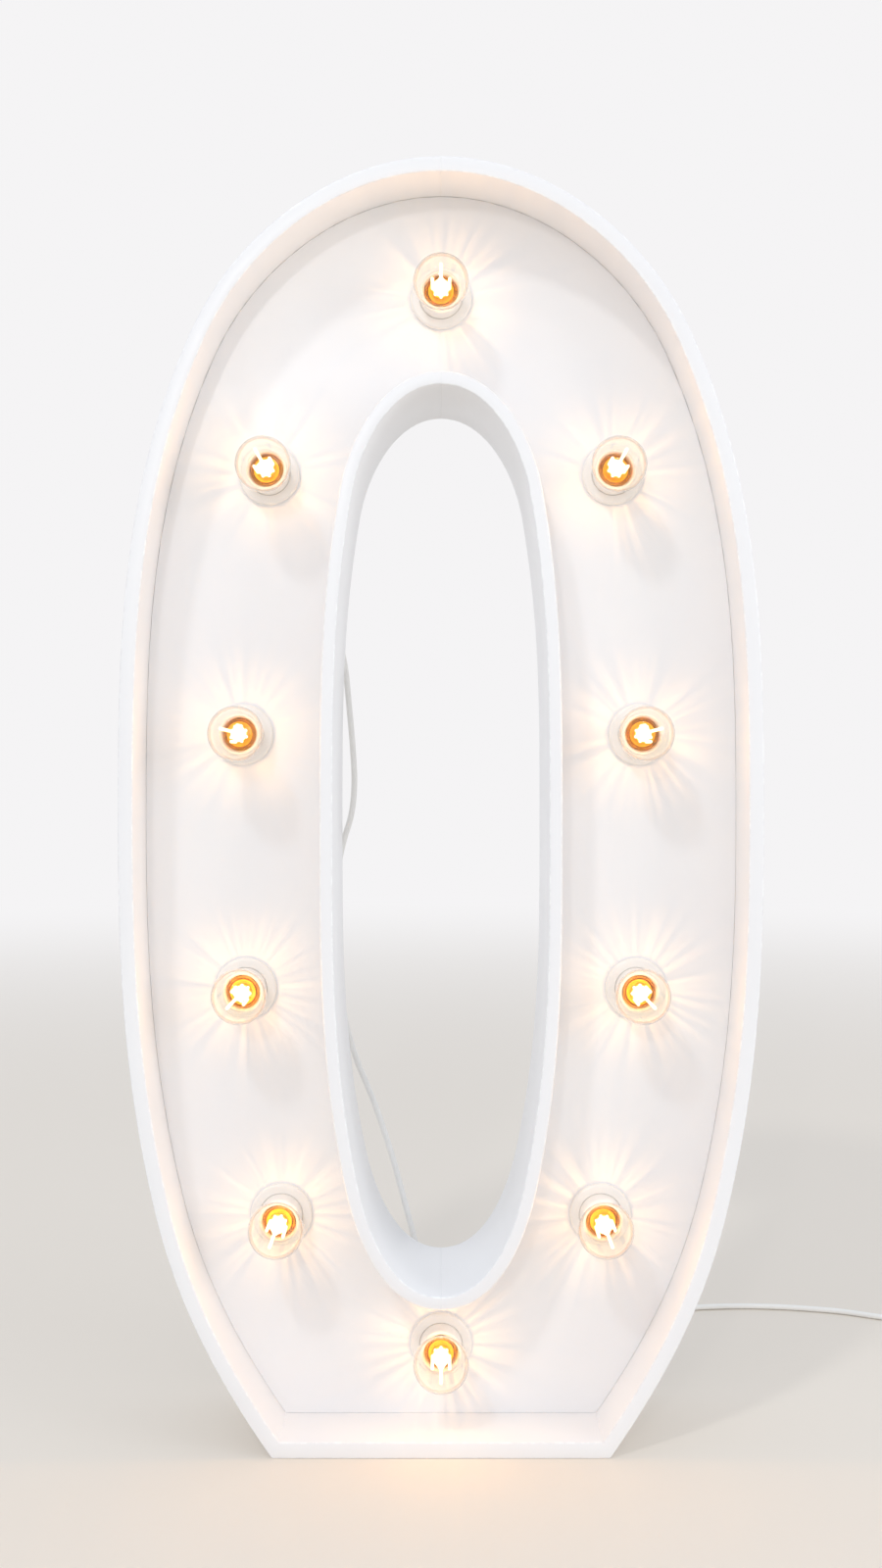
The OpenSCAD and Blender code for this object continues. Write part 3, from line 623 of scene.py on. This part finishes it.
# Zinc-plated steel, drawn and headed: a pale grey metal, streaked by the draw.
zinc, tree, place = start_material("zinc_plated_steel")
spangle_mm = 2
spangle = add_node(tree, "ShaderNodeTexNoise", {"Vector": place, "Scale": 1 / (spangle_mm * mm), "Detail": 3})
plated = add_node(tree, "ShaderNodeMapRange", {
    "Value": spangle.outputs["Fac"], "To Min": 0.2, "To Max": 0.45})
show(zinc, add_node(tree, "ShaderNodeBsdfPrincipled", {
    "Base Color": linear("#C9CACB"), "Metallic": 1, "Roughness": plated.outputs[0]}))

saddle = arc((0, 0), entry_r, 0, 180, 16) + [(-entry_r, -stand_h), (entry_r, -stand_h)]
clip_bore = arc((0, 0), cable_bore_r, 0, 345, 23)
clip = plate(saddle, clip_bore, clip_l)
ease(clip, sharp_edges(clip), clip_edge, 2)
boss_r = 3
boss_off = 2.2
boss_at = (entry_r + boss_off) * mm
boss_h = 7
boss_edge = 0.6
nail_r = 2.2
nail_h = 1
nail_sunk = 1
nail_edge = 0.4
boss_profile = [(0, 0), (boss_r, 0)]
boss_profile += arc((boss_r - boss_edge, boss_h - boss_edge), boss_edge, 0, 90, 3) + [(0, boss_h)]
nail_profile = [(0, boss_h - nail_sunk), (nail_r, boss_h - nail_sunk), (nail_r, boss_h + nail_h / 2)]
nail_profile += [(nail_r - nail_edge, boss_h + nail_h), (0, boss_h + nail_h)]
clip_places = []
boss_places = []
for i in range(len(stops) - 1):
    if rose_stop not in (i, i + 1):
        half_way = (stops[i + 1] - stops[i]).length / 2
        clip_place = toward(stops[i], stops[i + 1]) @ Matrix.Translation((0, 0, half_way - clip_l / 2))
        behind = clip_place.to_3x3().inverted() @ Vector((0, 1, 0))
        clip_place = clip_place @ Vector((0, 1, 0)).rotation_difference(behind).to_matrix().to_4x4()
        clip_places.append(clip_place)
        foot = clip_place @ Vector((boss_at, -stand_h * mm, clip_l / 2))
        boss_places.append(Matrix.Translation(foot) @ Matrix.Rotation(-math.pi / 2, 4, "X"))
clips = add_copies(bmesh.new(), clip, clip_places)
add_copies(clips, turned(boss_profile, 24), boss_places)
plain_faces = len(clips.faces)
add_copies(clips, turned(nail_profile, 24), boss_places)
clips.faces.ensure_lookup_table()
for face in clips.faces[plain_faces:]:
    face.material_index = 1
piece = finished("loom_saddles", clips, [moulded, zinc], "body", "cable_clips")

# Terminal rose
# The cord's conductors meet the loom in a round moulded box on the back of the left stroke.
# Its cover sits on a base that is screwed to the panel, and two slotted screws hold the cover.
rose_stand = Matrix.Translation((rose.x, panel_back, rose.z)) @ Matrix.Rotation(-math.pi / 2, 4, "X")
base_r = 32
base_h = 5
base_edge = 1.2
base_profile = [(0, 0), (base_r, 0)] + arc((base_r - base_edge, base_h - base_edge), base_edge, 0, 90, 5)
base_profile += [(0, base_h)]
rose_base = turned(base_profile)
rose_base.transform(rose_stand)
piece = finished("rose_base", rose_base, [moulded], "body", "terminal_rose_base")

cover_foot_r = 31
cover_top_r = 27
cover_top = 34
cover_round = 5
cover_flare = 0.5
flank_lean = 8
seam_h = 0.6
cover_profile = [(0, base_h), (cover_foot_r - seam_h, base_h), (cover_foot_r - seam_h, base_h + seam_h)]
cover_profile += [(cover_foot_r, base_h + 2 * seam_h)]
cover_profile += arc((cover_top_r - cover_round + cover_flare, cover_top - cover_round), cover_round,
                     flank_lean, 90, 8)
cover_profile += [(0, cover_top)]
rose_cover = turned(cover_profile)
rose_cover.transform(rose_stand)
rose_entry_root = 22
rose_entry_reach = 34
add_copies(rose_cover, entry(rose_entry_root, rose_entry_reach), rose_entries)
plain_faces = len(rose_cover.faces)
screw_head_r = 3.4
screw_head_h = 1.2
head_sunk = 1
head_side = 0.5
head_edge = 0.7
screw_at = 18 * mm
slot_w = 1 * mm
head_profile = [(0, cover_top - head_sunk), (screw_head_r, cover_top - head_sunk)]
head_profile += [(screw_head_r, cover_top + head_side)]
head_profile += [(screw_head_r - head_edge, cover_top + screw_head_h), (0, cover_top + screw_head_h)]
slot_turn = math.radians(35)
for side in (-1, 1):
    seat = rose_stand @ Matrix.Translation((side * screw_at, 0, 0))
    seat = seat @ Matrix.Rotation(side * slot_turn, 4, "Z")
    for half in (-1, 1):
        beside = (Vector((half * slot_w / 2, 0, 0)), Vector((half, 0, 0)))
        add_copies(rose_cover, cut(turned(head_profile, 32), beside), [seat])
rose_cover.faces.ensure_lookup_table()
for face in rose_cover.faces[plain_faces:]:
    face.material_index = 1
piece = finished("rose_cover", rose_cover, [moulded, zinc], "body", "terminal_rose_cover")

# Cord grip
# A ribbed sleeve of soft PVC tapers down to the cord where it leaves the rose.
# It is moulded onto the cord, and its foot is held in the cover.
grip_foot_r = 11
grip_foot_h = 3
foot_edge = 0.6
grip_r = 9
grip_end_r = 4.2
grip_l = 28
grip_ribs = 5
groove = 0.8
points_per_rib = 10
grip_top = cover_top + grip_l
grip_profile = [(0, cover_top)]
grip_profile += arc((grip_foot_r - foot_edge, cover_top + foot_edge), foot_edge, -90, 0, 3)
grip_profile += arc((grip_foot_r - foot_edge, cover_top + grip_foot_h - foot_edge), foot_edge, 0, 90, 3)
for i in range(grip_ribs * points_per_rib + 1):
    along = i / (grip_ribs * points_per_rib)
    dip = groove * (1 - math.cos(2 * math.pi * grip_ribs * along)) / 2
    grip_profile.append((grip_r + (grip_end_r - grip_r) * along - dip,
                         cover_top + grip_foot_h + (grip_l - grip_foot_h) * along))
grip_profile += [(0, grip_top)]
grip = turned(grip_profile, 48)
grip.transform(rose_stand)
piece = finished("cord_sleeve", grip, [sheath], "body", "cord_grip")

# Plug
# A flat two-pin plug is moulded onto the end of the cord, with grooves for the fingers on its flanks.
# Its pins are plated brass, and each has a plastic sleeve next to the body.
low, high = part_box("plug_body")
plug_rear = Vector((high.x, (low.y + high.y) / 2, (low.z + high.z) / 2))
plug_stand = Matrix.Translation(plug_rear) @ Matrix.Rotation(-math.pi / 2, 4, "Y")
plug_half_w = (high.y - low.y) / 2 / mm
plug_half_t = (high.z - low.z) / 2 / mm
plug_l = (high.x - low.x) / mm
plug_taper_l = 24
plug_rear_r = 4.5
plug_groove = 0.55
grooved_from = 8
grooved_to = 19
groove_pitch = 3
front_round = [(1.4, 0), (0.8, 0.15), (0.3, 0.55), (0, 1.3)]
plug_levels = []
for level in range(plug_taper_l + 1):
    swell = level / plug_taper_l
    swell = swell * swell * (3 - 2 * swell)
    dip = plug_groove if grooved_from <= level <= grooved_to and level % groove_pitch == 0 else 0
    plug_levels.append((level, plug_rear_r + (plug_half_w - plug_rear_r) * swell - dip,
                        plug_rear_r + (plug_half_t - plug_rear_r) * swell - dip))
for short, inset in front_round:
    plug_levels.append((plug_l - short, plug_half_w - inset, plug_half_t - inset))
plug = bmesh.new()
rings_of_edges = []
for level, half_w, half_t in plug_levels:
    loop = arc((0, half_w - half_t), half_t, 0, 180, 16) + arc((0, half_t - half_w), half_t, 180, 360, 16)
    verts = [plug.verts.new((x * mm, y * mm, level * mm)) for x, y in loop]
    rings_of_edges.append([plug.edges.new((verts[i - 1], verts[i])) for i in range(len(verts))])
for before, after in zip(rings_of_edges, rings_of_edges[1:]):
    bmesh.ops.bridge_loops(plug, edges=before + after)
for end in (rings_of_edges[0], rings_of_edges[-1]):
    bmesh.ops.contextual_create(plug, geom=end)
bmesh.ops.remove_doubles(plug, verts=plug.verts, dist=0.01 * mm)
bmesh.ops.recalc_face_normals(plug, faces=plug.faces)
plug.transform(plug_stand)
mains_plug = finished("mains_plug", plug, [moulded], "body", "plug_body")

# Nickel plate on brass: a warm white metal, bright with fine wipe marks.
nickel, tree, place = start_material("nickel_plated_brass")
wipe_mm = 1.2
wipes = add_node(tree, "ShaderNodeTexNoise", {"Vector": place, "Scale": 1 / (wipe_mm * mm), "Detail": 3})
bright = add_node(tree, "ShaderNodeMapRange", {"Value": wipes.outputs["Fac"], "To Min": 0.12, "To Max": 0.3})
show(nickel, add_node(tree, "ShaderNodeBsdfPrincipled", {
    "Base Color": linear("#D2CCC0"), "Metallic": 1, "Roughness": bright.outputs[0]}))
pin_r = 2
pin_l = 19
sleeve_l = 9.5
sleeve_groove = 0.2
pin_tip = 1
pin_off = 9.3 * mm
pin_profile = [(0, 0), (pin_r, 0), (pin_r, sleeve_l), (pin_r - sleeve_groove, sleeve_l + sleeve_groove)]
pin_profile += [(pin_r, sleeve_l + 2 * sleeve_groove)]
pin_profile += arc((pin_r - pin_tip, pin_l - pin_tip), pin_tip, 0, 90, 5) + [(0, pin_l)]
pin = turned(pin_profile, 32)
for face in pin.faces:
    if face.calc_center_median().z < (sleeve_l + sleeve_groove / 2) * mm:
        face.material_index = 1
pin_places = [plug_stand @ Matrix.Translation((0, side * pin_off, plug_l * mm)) for side in (-1, 1)]
plug_contacts = finished("plug_contacts", add_copies(bmesh.new(), pin, pin_places), [nickel, moulded], "body",
                         "plug_pins")

# Cord tie
# A narrow woven strap holds the coil of spare cord together.
# It is wrapped once round the turns and pressed onto itself.
low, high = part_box("cord_tie")
tie_w = high.y - low.y
tie_t = 0.9
tie_round = 3.9
tie_edge = 0.25 * mm
tie_mid = (low + high) / 2
half_x = (high.x - low.x) / 2 / mm
half_z = (high.z - low.z) / 2 / mm


def rounded_frame(half_w, half_h, r):
    """Lists the points round an upright rectangle with round corners."""
    corners = ((1, 1, 0), (-1, 1, 90), (-1, -1, 180), (1, -1, 270))
    return [point for x, y, start in corners
            for point in arc((x * (half_w - r), y * (half_h - r)), r, start, start + 90, 5)]


# Nylon tape, woven: grey threads over and under each other, drawn coarse enough to show.
tape, tree, place = start_material("woven_nylon_tape")
thread_mm = 1.1
turns_per_unit = 1 / (thread_mm * mm * 2 * math.pi)
warp = add_node(tree, "ShaderNodeTexWave", {"Vector": place, "Scale": turns_per_unit}, bands_direction="X")
weft = add_node(tree, "ShaderNodeTexWave", {"Vector": place, "Scale": turns_per_unit}, bands_direction="Y")
rise = add_node(tree, "ShaderNodeTexWave", {"Vector": place, "Scale": turns_per_unit}, bands_direction="Z")
sides = add_node(tree, "ShaderNodeMath", {
    0: warp.outputs["Fac"], 1: rise.outputs["Fac"]}, operation="MULTIPLY")
weave = add_node(tree, "ShaderNodeMath", {0: sides.outputs[0], 1: weft.outputs["Fac"]}, operation="MAXIMUM")
grey = add_node(tree, "ShaderNodeMix", {
    "Factor": weave.outputs[0], colour_a: linear("#9A9894"), colour_b: linear("#C4C2BD")}, data_type="RGBA")
bump = add_node(tree, "ShaderNodeBump", {"Height": weave.outputs[0], "Strength": 0.5, "Distance": 0.3 * mm})
show(tape, add_node(tree, "ShaderNodeBsdfPrincipled", {
    "Base Color": grey.outputs[mixed_colour], "Roughness": 0.8, "Normal": bump.outputs[0]}))
strap = plate(rounded_frame(half_x, half_z, tie_round),
              rounded_frame(half_x - tie_t, half_z - tie_t, tie_round - tie_t), tie_w)
ease(strap, sharp_edges(strap), tie_edge, 2)
strap.transform(Matrix.Translation((tie_mid.x, high.y, tie_mid.z)) @ Matrix.Rotation(math.pi / 2, 4, "X"))
coil_strap = finished("coil_strap", strap, [tape], "body", "cord_tie")

# Mains cord
# A round white lead hangs from the terminal rose behind the left stroke and lies on the floor to the right.
# Its spare length is wound into a tied coil, and it ends in the plug.
cord_d = 6 * mm
cord_points = [Vector(p) * mm for p in (
    (-142, 64, 830), (-142, 72, 830), (-141.5, 84, 827), (-139, 94, 818), (-134, 99, 805),
    (-125, 101, 790), (-112, 100, 775), (-103, 99, 758), (-98, 98, 735), (-94, 98, 695),
    (-90.5, 98, 655), (-89, 98, 619), (-92, 98, 588), (-100, 98, 560), (-107, 98, 525),
    (-110, 98, 480), (-107, 98, 430), (-100, 98, 385), (-88, 98, 340), (-68, 99, 290),
    (-50, 100, 236), (-35, 102, 180), (-20, 107, 125), (0, 120, 75), (24, 145, 32),
    (52, 180, 12), (88, 220, 4.6), (140, 265, 3.2), (215, 313, 3.1), (302, 338, 3.1),
    (380, 341, 3.1), (456, 326, 3.1), (507, 303, 3.1), (540, 290, 3.5), (570, 284, 4.2), (589, 284, 4.2))]
coil_turns = 6.5
coil_r = 24.5 * mm
coil_step = 6.5 * mm
loop_steps = 24
pull_parts = 6
coil_start = cord_points[-1]
coil_out_r = coil_r + coil_step * coil_turns / 2
coil_middle = coil_start + Vector((cord_d, -coil_out_r, 0))
for i in range(int(coil_turns * loop_steps) + 1):
    turns = i / loop_steps
    turn = math.radians(90 - 360 * turns)
    r = coil_r + coil_step * abs(turns - coil_turns / 2)
    climb = max(0, min(1, 2 * (turns - coil_turns / 2) + 0.5))
    cord_points.append(coil_middle + Vector((r * math.cos(turn), r * math.sin(turn), coil_step * climb)))
coil_end = cord_points[-1] - Vector((cord_d, 0, 0))
tail_l = coil_end.x - plug_rear.x
tail_drop = coil_end.z - plug_rear.z
for share in (0, 0.15, 0.35, 0.5, 0.65, 0.85, 1):
    drop = tail_drop * share * share * (3 - 2 * share)
    cord_points.append(coil_end - Vector((tail_l * share, 0, drop)))

cord_path = bpy.data.curves.new("mains_lead", "CURVE")
cord_path.dimensions = "3D"
cord_path.resolution_u = 5
cord_path.bevel_depth = cord_d / 2
cord_path.bevel_resolution = 5
cord_path.use_fill_caps = True
spline = cord_path.splines.new("BEZIER")
spline.bezier_points.add(len(cord_points) - 1)
for i, place in enumerate(cord_points):
    pull = (cord_points[min(i + 1, len(cord_points) - 1)] - cord_points[max(i - 1, 0)]) / pull_parts
    point = spline.bezier_points[i]
    point.co = place
    point.handle_left_type = point.handle_right_type = "FREE"
    point.handle_left = place - pull
    point.handle_right = place + pull
cord_path.materials.append(sheath)
mains_lead = bpy.data.objects.new("mains_lead", cord_path)
scene.collection.objects.link(mains_lead)
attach(mains_lead, "body")
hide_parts("mains_cord", "cord_coil", "cord_tail")

# Bulb caps
# Each bulb's cap is spun from thin metal with a rolled thread, and its collar is dished and lacquered gold.
# A painted shade darkens the lacquer to brown along the dish's edge and over the collar's rim.
# Gold lacquer on metal: a deep amber mirror, clouded by heat.
gold, tree, place = start_material("gold_lacquered_metal")
stain_mm = 4
stain = add_node(tree, "ShaderNodeTexNoise", {"Vector": place, "Scale": 1 / (stain_mm * mm), "Detail": 3})
amber = add_node(tree, "ShaderNodeMix", {
    "Factor": stain.outputs["Fac"], colour_a: linear("#E39A08"), colour_b: linear("#FFC63A")},
    data_type="RGBA")
show(gold, add_node(tree, "ShaderNodeBsdfPrincipled", {
    "Base Color": amber.outputs[mixed_colour], "Metallic": 1, "Roughness": 0.34}))
# The same lacquer with a painted shade: brown and dull, for the dish's edge and the collar's rim.
shaded_lacquer, tree, place = start_material("gold_lacquer_painted_shade")
shade_mottle = add_node(tree, "ShaderNodeTexNoise", {"Vector": place, "Scale": 1 / (stain_mm * mm), "Detail": 3})
shade_brown = add_node(tree, "ShaderNodeMix", {
    "Factor": shade_mottle.outputs["Fac"], colour_a: linear("#5A3A00"), colour_b: linear("#A87408")},
    data_type="RGBA")
show(shaded_lacquer, add_node(tree, "ShaderNodeBsdfPrincipled", {
    "Base Color": shade_brown.outputs[mixed_colour], "Metallic": 0.6, "Roughness": 0.5}))

tip_level = -0.7
tip_r = 4.5
tip_edge = 0.5
tip_top = 0.8
bulb_end_r = 10
bulb_end_top = 2.3
screw_r = 13.3
thread_depth = 0.8
thread_pitch = 3.6
thread_foot = 4.5
thread_turns = 5
thread_points = 8
thread_steps = 32
thread_head = 23.5
collar_r = 15
collar_foot = 26
collar_reach = 28.5
collar_edge = 0.4
dish_r = 13.6
dish_level = 26.6
dish_edge = 1.4
dish_fall = 0.3
dish_rise = 0.1
screw_profile = [(0, tip_level), (tip_r - tip_edge, tip_level), (tip_r, tip_level + tip_edge)]
screw_profile += [(tip_r, tip_top), (bulb_end_r, bulb_end_top)]
screw_profile += [(screw_r - thread_depth, thread_foot), (screw_r - thread_depth, thread_head)]
screw_profile += [(collar_r, collar_foot)]
screw_profile += arc((collar_r - collar_edge, collar_reach - collar_edge), collar_edge, 0, 90, 4)
screw_profile += arc((dish_r + collar_edge, collar_reach - collar_edge), collar_edge, 90, 180, 3)
screw_profile += [(dish_r - dish_edge, dish_level), (0, dish_level - dish_fall)]
for name, place in lamps.items():
    cap = turned(screw_profile)
    thread = []
    for i in range(thread_points + 1):
        crest = (1 - math.cos(2 * math.pi * i / thread_points)) / 2
        thread.append(cap.verts.new(((screw_r - thread_depth * (1 - crest)) * mm, 0,
                                     (thread_foot + thread_pitch * i / thread_points) * mm)))
    edges = [cap.edges.new(pair) for pair in zip(thread, thread[1:])]
    bmesh.ops.spin(cap, geom=thread + edges, cent=(0, 0, 0), axis=(0, 0, 1), angle=2 * math.pi * thread_turns,
                   steps=thread_steps * thread_turns, dvec=(0, 0, thread_pitch / thread_steps * mm))
    # Faces round the dish's edge and on the collar's rim take the lacquer with painted shade.
    for face in cap.faces:
        at = face.calc_center_median() / mm
        if at.z > dish_level + dish_rise and at.xy.length > dish_r - dish_edge:
            face.material_index = 1
    cap.transform(place)
    piece = finished("bulb_base_" + name, cap, [gold, shaded_lacquer], "bulb_" + name, "bulb_cap_" + name)

# Bulb glass
# The globes are blown clear glass with a faint amber film, and a short neck sweeps out of the collar.
# Lamps reach through it under a faint veil, and soft light passes straight, so no bent ray leaves a spot.
# Soda-lime glass, blown and fire-polished: clear and smooth, with a slow waviness.
glass, tree, place = start_material("blown_amber_glass")
ripple_mm = 18
ripple = add_node(tree, "ShaderNodeTexNoise", {"Vector": place, "Scale": 1 / (ripple_mm * mm), "Detail": 1})
bump = add_node(tree, "ShaderNodeBump", {
    "Height": ripple.outputs["Fac"], "Strength": 0.08, "Distance": 0.5 * mm})
clear = add_node(tree, "ShaderNodeBsdfPrincipled", {
    "Base Color": linear("#FCFAF6"), "Roughness": 0.02, "Transmission Weight": 1, "IOR": 1.45,
    "Normal": bump.outputs[0]})
veil = add_node(tree, "ShaderNodeBsdfTransparent", {"Color": linear("#DED6CC")})
open_glass = add_node(tree, "ShaderNodeBsdfTransparent", {"Color": linear("#FDFBF8")})
rays = add_node(tree, "ShaderNodeLightPath")
veiled = add_node(tree, "ShaderNodeMixShader", {
    0: rays.outputs["Is Shadow Ray"], 1: clear.outputs[0], 2: veil.outputs[0]})
show(glass, add_node(tree, "ShaderNodeMixShader", {
    0: rays.outputs["Is Diffuse Ray"], 1: veiled.outputs[0], 2: open_glass.outputs[0]}))
globe_r = 26
globe_reach = 60
glass_t = 0.6
neck_h = globe_reach - collar_reach
sweep_r = (collar_r ** 2 + neck_h ** 2 - globe_r ** 2) / (2 * (globe_r - collar_r))
sweep_x = collar_r + sweep_r
touch = math.degrees(math.atan2(-neck_h, sweep_x))
glass_profile = arc((sweep_x, collar_reach), sweep_r, 180, 180 + touch, 8)
glass_profile += arc((0, globe_reach), globe_r, touch, 90, 28)[1:]
for name, place in lamps.items():
    globe = turned(glass_profile)
    bmesh.ops.solidify(globe, geom=globe.faces[:], thickness=glass_t * mm)
    globe.transform(place)
    piece = finished("bulb_globe_" + name, globe, [glass], "bulb_" + name, "bulb_glass_" + name)

# Filaments
# Eight straight filaments coated with phosphor stand on a metal crown round a glass stem. Four lean in to the
# stem's head, and one leans out. They are far brighter than the room, so they burn out to a white star.
# Phosphor in resin, dispensed over a row of chips: glowing, and grainy when it is off.
phosphor, tree, place = start_material("glowing_phosphor")
grit_mm = 1
grit = add_node(tree, "ShaderNodeTexNoise", {"Vector": place, "Scale": 1 / (grit_mm * mm), "Detail": 2})
glow_level = add_node(tree, "ShaderNodeMapRange", {
    "Value": grit.outputs["Fac"], "To Min": 1.3, "To Max": 1.6})
show(phosphor, add_node(tree, "ShaderNodeBsdfPrincipled", {
    "Base Color": linear("#FFE7B0"), "Roughness": 0.6, "Emission Color": linear("#FFF3DF"),
    "Emission Strength": glow_level.outputs[0]}))
stem_foot_r = 9
stem_neck_r = 5
stem_neck = 31
crown_foot = 33.5
crown_top = 35.5
crown_r = 9.4
crown_edge = 1
crown_gap = 0.6
hub_r = 7.4
stem_r = 2.6
stem_fillet = 1
stem_fillet_h = 2
head_foot = 60.5
head_top = 64.5
head_r = 3.2
head_rise = 0.8
head_round = 1.2
stem_profile = [(0, collar_reach), (stem_foot_r, collar_reach), (stem_neck_r, stem_neck)]
stem_profile += [(stem_neck_r, crown_foot - crown_gap)]
stem_profile += arc((crown_r - crown_edge, crown_foot + crown_edge), crown_edge, -90, 90, 6)
stem_profile += [(hub_r, crown_top), (stem_r + stem_fillet, crown_top)]
stem_profile += [(stem_r, crown_top + stem_fillet_h), (stem_r, head_foot), (head_r, head_foot + head_rise)]
stem_profile += arc((head_r - head_round, head_top - head_round), head_round, 0, 90, 4) + [(0, head_top)]
stick_r = 1.5
stick_ring_r = 8
stick_foot = 34.5
stick_top = 70.5
splay = 6
lean_in = 6.5
lean_top = 62.5
filament_pairs = 4


def stick(length):
    """Makes a filament with round ends."""
    profile = arc((0, stick_r), stick_r, -90, 0, 4) + arc((0, length - stick_r), stick_r, 0, 90, 4)
    return turned(profile, 12)


spread = math.atan2(splay, stick_top - stick_foot)
lean = math.atan2(lean_in, lean_top - stick_foot)
lean_l = math.hypot(lean_in, lean_top - stick_foot)
low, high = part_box("face_panel")
middle_z = (low.z + high.z) / 2
for name, place in lamps.items():
    upright_seats = []
    leaning_seats = []
    at = place.translation
    outward = math.atan2(at.z - middle_z, at.x)
    for i in range(filament_pairs):
        quarter = 2 * math.pi / filament_pairs
        foot = Matrix.Translation((stick_ring_r * mm, 0, stick_foot * mm))
        upright_seats.append(Matrix.Rotation(outward + i * quarter, 4, "Z") @ foot
                             @ Matrix.Rotation(0 if i else spread, 4, "Y"))
        leaning_seats.append(Matrix.Rotation(outward + (i + 0.5) * quarter, 4, "Z") @ foot
                             @ Matrix.Rotation(-lean, 4, "Y"))
    cluster = turned(stem_profile, 32)
    for face in cluster.faces:
        at = face.calc_center_median() / mm
        if at.z < crown_foot or at.xy.length > hub_r:
            face.material_index = 1
    add_copies(cluster, stick(stick_top - stick_foot), upright_seats)
    add_copies(cluster, stick(lean_l), leaning_seats)
    cluster.transform(place)
    piece = finished("bulb_light_" + name, cluster, [phosphor, gold], "bulb_" + name,
                     "bulb_filament_" + name)
    piece.visible_shadow = False
    piece.visible_diffuse = False

# Glow of the bulbs
# Each bulb throws a warm light sideways onto the walls and back onto the panel round its holder.
# The filaments and the ripples of the glass break it into streaks that run out from the bulb.
glow_watts = 0.125
glow_reach = 66 * mm
glow_r = 2 * mm
streaks_round = 9
streak_shift = 7
for i, (name, place) in enumerate(lamps.items()):
    data = bpy.data.lights.new("glow_" + name, "POINT")
    data.energy = glow_watts
    data.shadow_soft_size = glow_r
    data.use_nodes = True
    tree = data.node_tree
    way = add_node(tree, "ShaderNodeTexCoord").outputs["Normal"]
    flat_way = add_node(tree, "ShaderNodeVectorMath", {0: way, 1: (1, 0, 1)}, operation="MULTIPLY")
    round_way = add_node(tree, "ShaderNodeVectorMath", {0: flat_way.outputs[0]}, operation="NORMALIZE")
    own_way = add_node(tree, "ShaderNodeVectorMath", {
        0: round_way.outputs[0], 1: (0, streak_shift * i, 0)}, operation="ADD")
    streaks = add_node(tree, "ShaderNodeTexNoise", {
        "Vector": own_way.outputs[0], "Scale": streaks_round, "Detail": 2, "Roughness": 0.6})
    level = add_node(tree, "ShaderNodeMapRange", {
        "Value": streaks.outputs["Fac"], "From Min": 0.4, "From Max": 0.6, "To Min": 0.2, "To Max": 1.9})
    facing = add_node(tree, "ShaderNodeSeparateXYZ", {"Vector": way}).outputs["Y"]
    near = add_node(tree, "ShaderNodeMapRange", {
        "Value": facing, "From Min": 0.6, "From Max": 0.85, "To Min": 0.2, "To Max": 1.2})
    side = add_node(tree, "ShaderNodeMapRange", {
        "Value": facing, "From Min": 0.5, "From Max": 0.1, "To Min": 0, "To Max": 1.1})
    whole = add_node(tree, "ShaderNodeMath", {
        0: near.outputs[0], 1: level.outputs[0], 2: side.outputs[0]}, operation="MULTIPLY_ADD")
    hue = add_node(tree, "ShaderNodeMix", {
        "Factor": streaks.outputs["Fac"], colour_a: linear("#FFC26C"), colour_b: linear("#FFD89E")},
        data_type="RGBA")
    tree.links.new(whole.outputs[0], tree.nodes["Emission"].inputs["Strength"])
    tree.links.new(hue.outputs[mixed_colour], tree.nodes["Emission"].inputs["Color"])
    glow = bpy.data.objects.new("glow_" + name, data)
    glow.location = place @ Vector((0, 0, glow_reach))
    glow.visible_camera = False
    glow.visible_transmission = False
    scene.collection.objects.link(glow)

low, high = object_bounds()
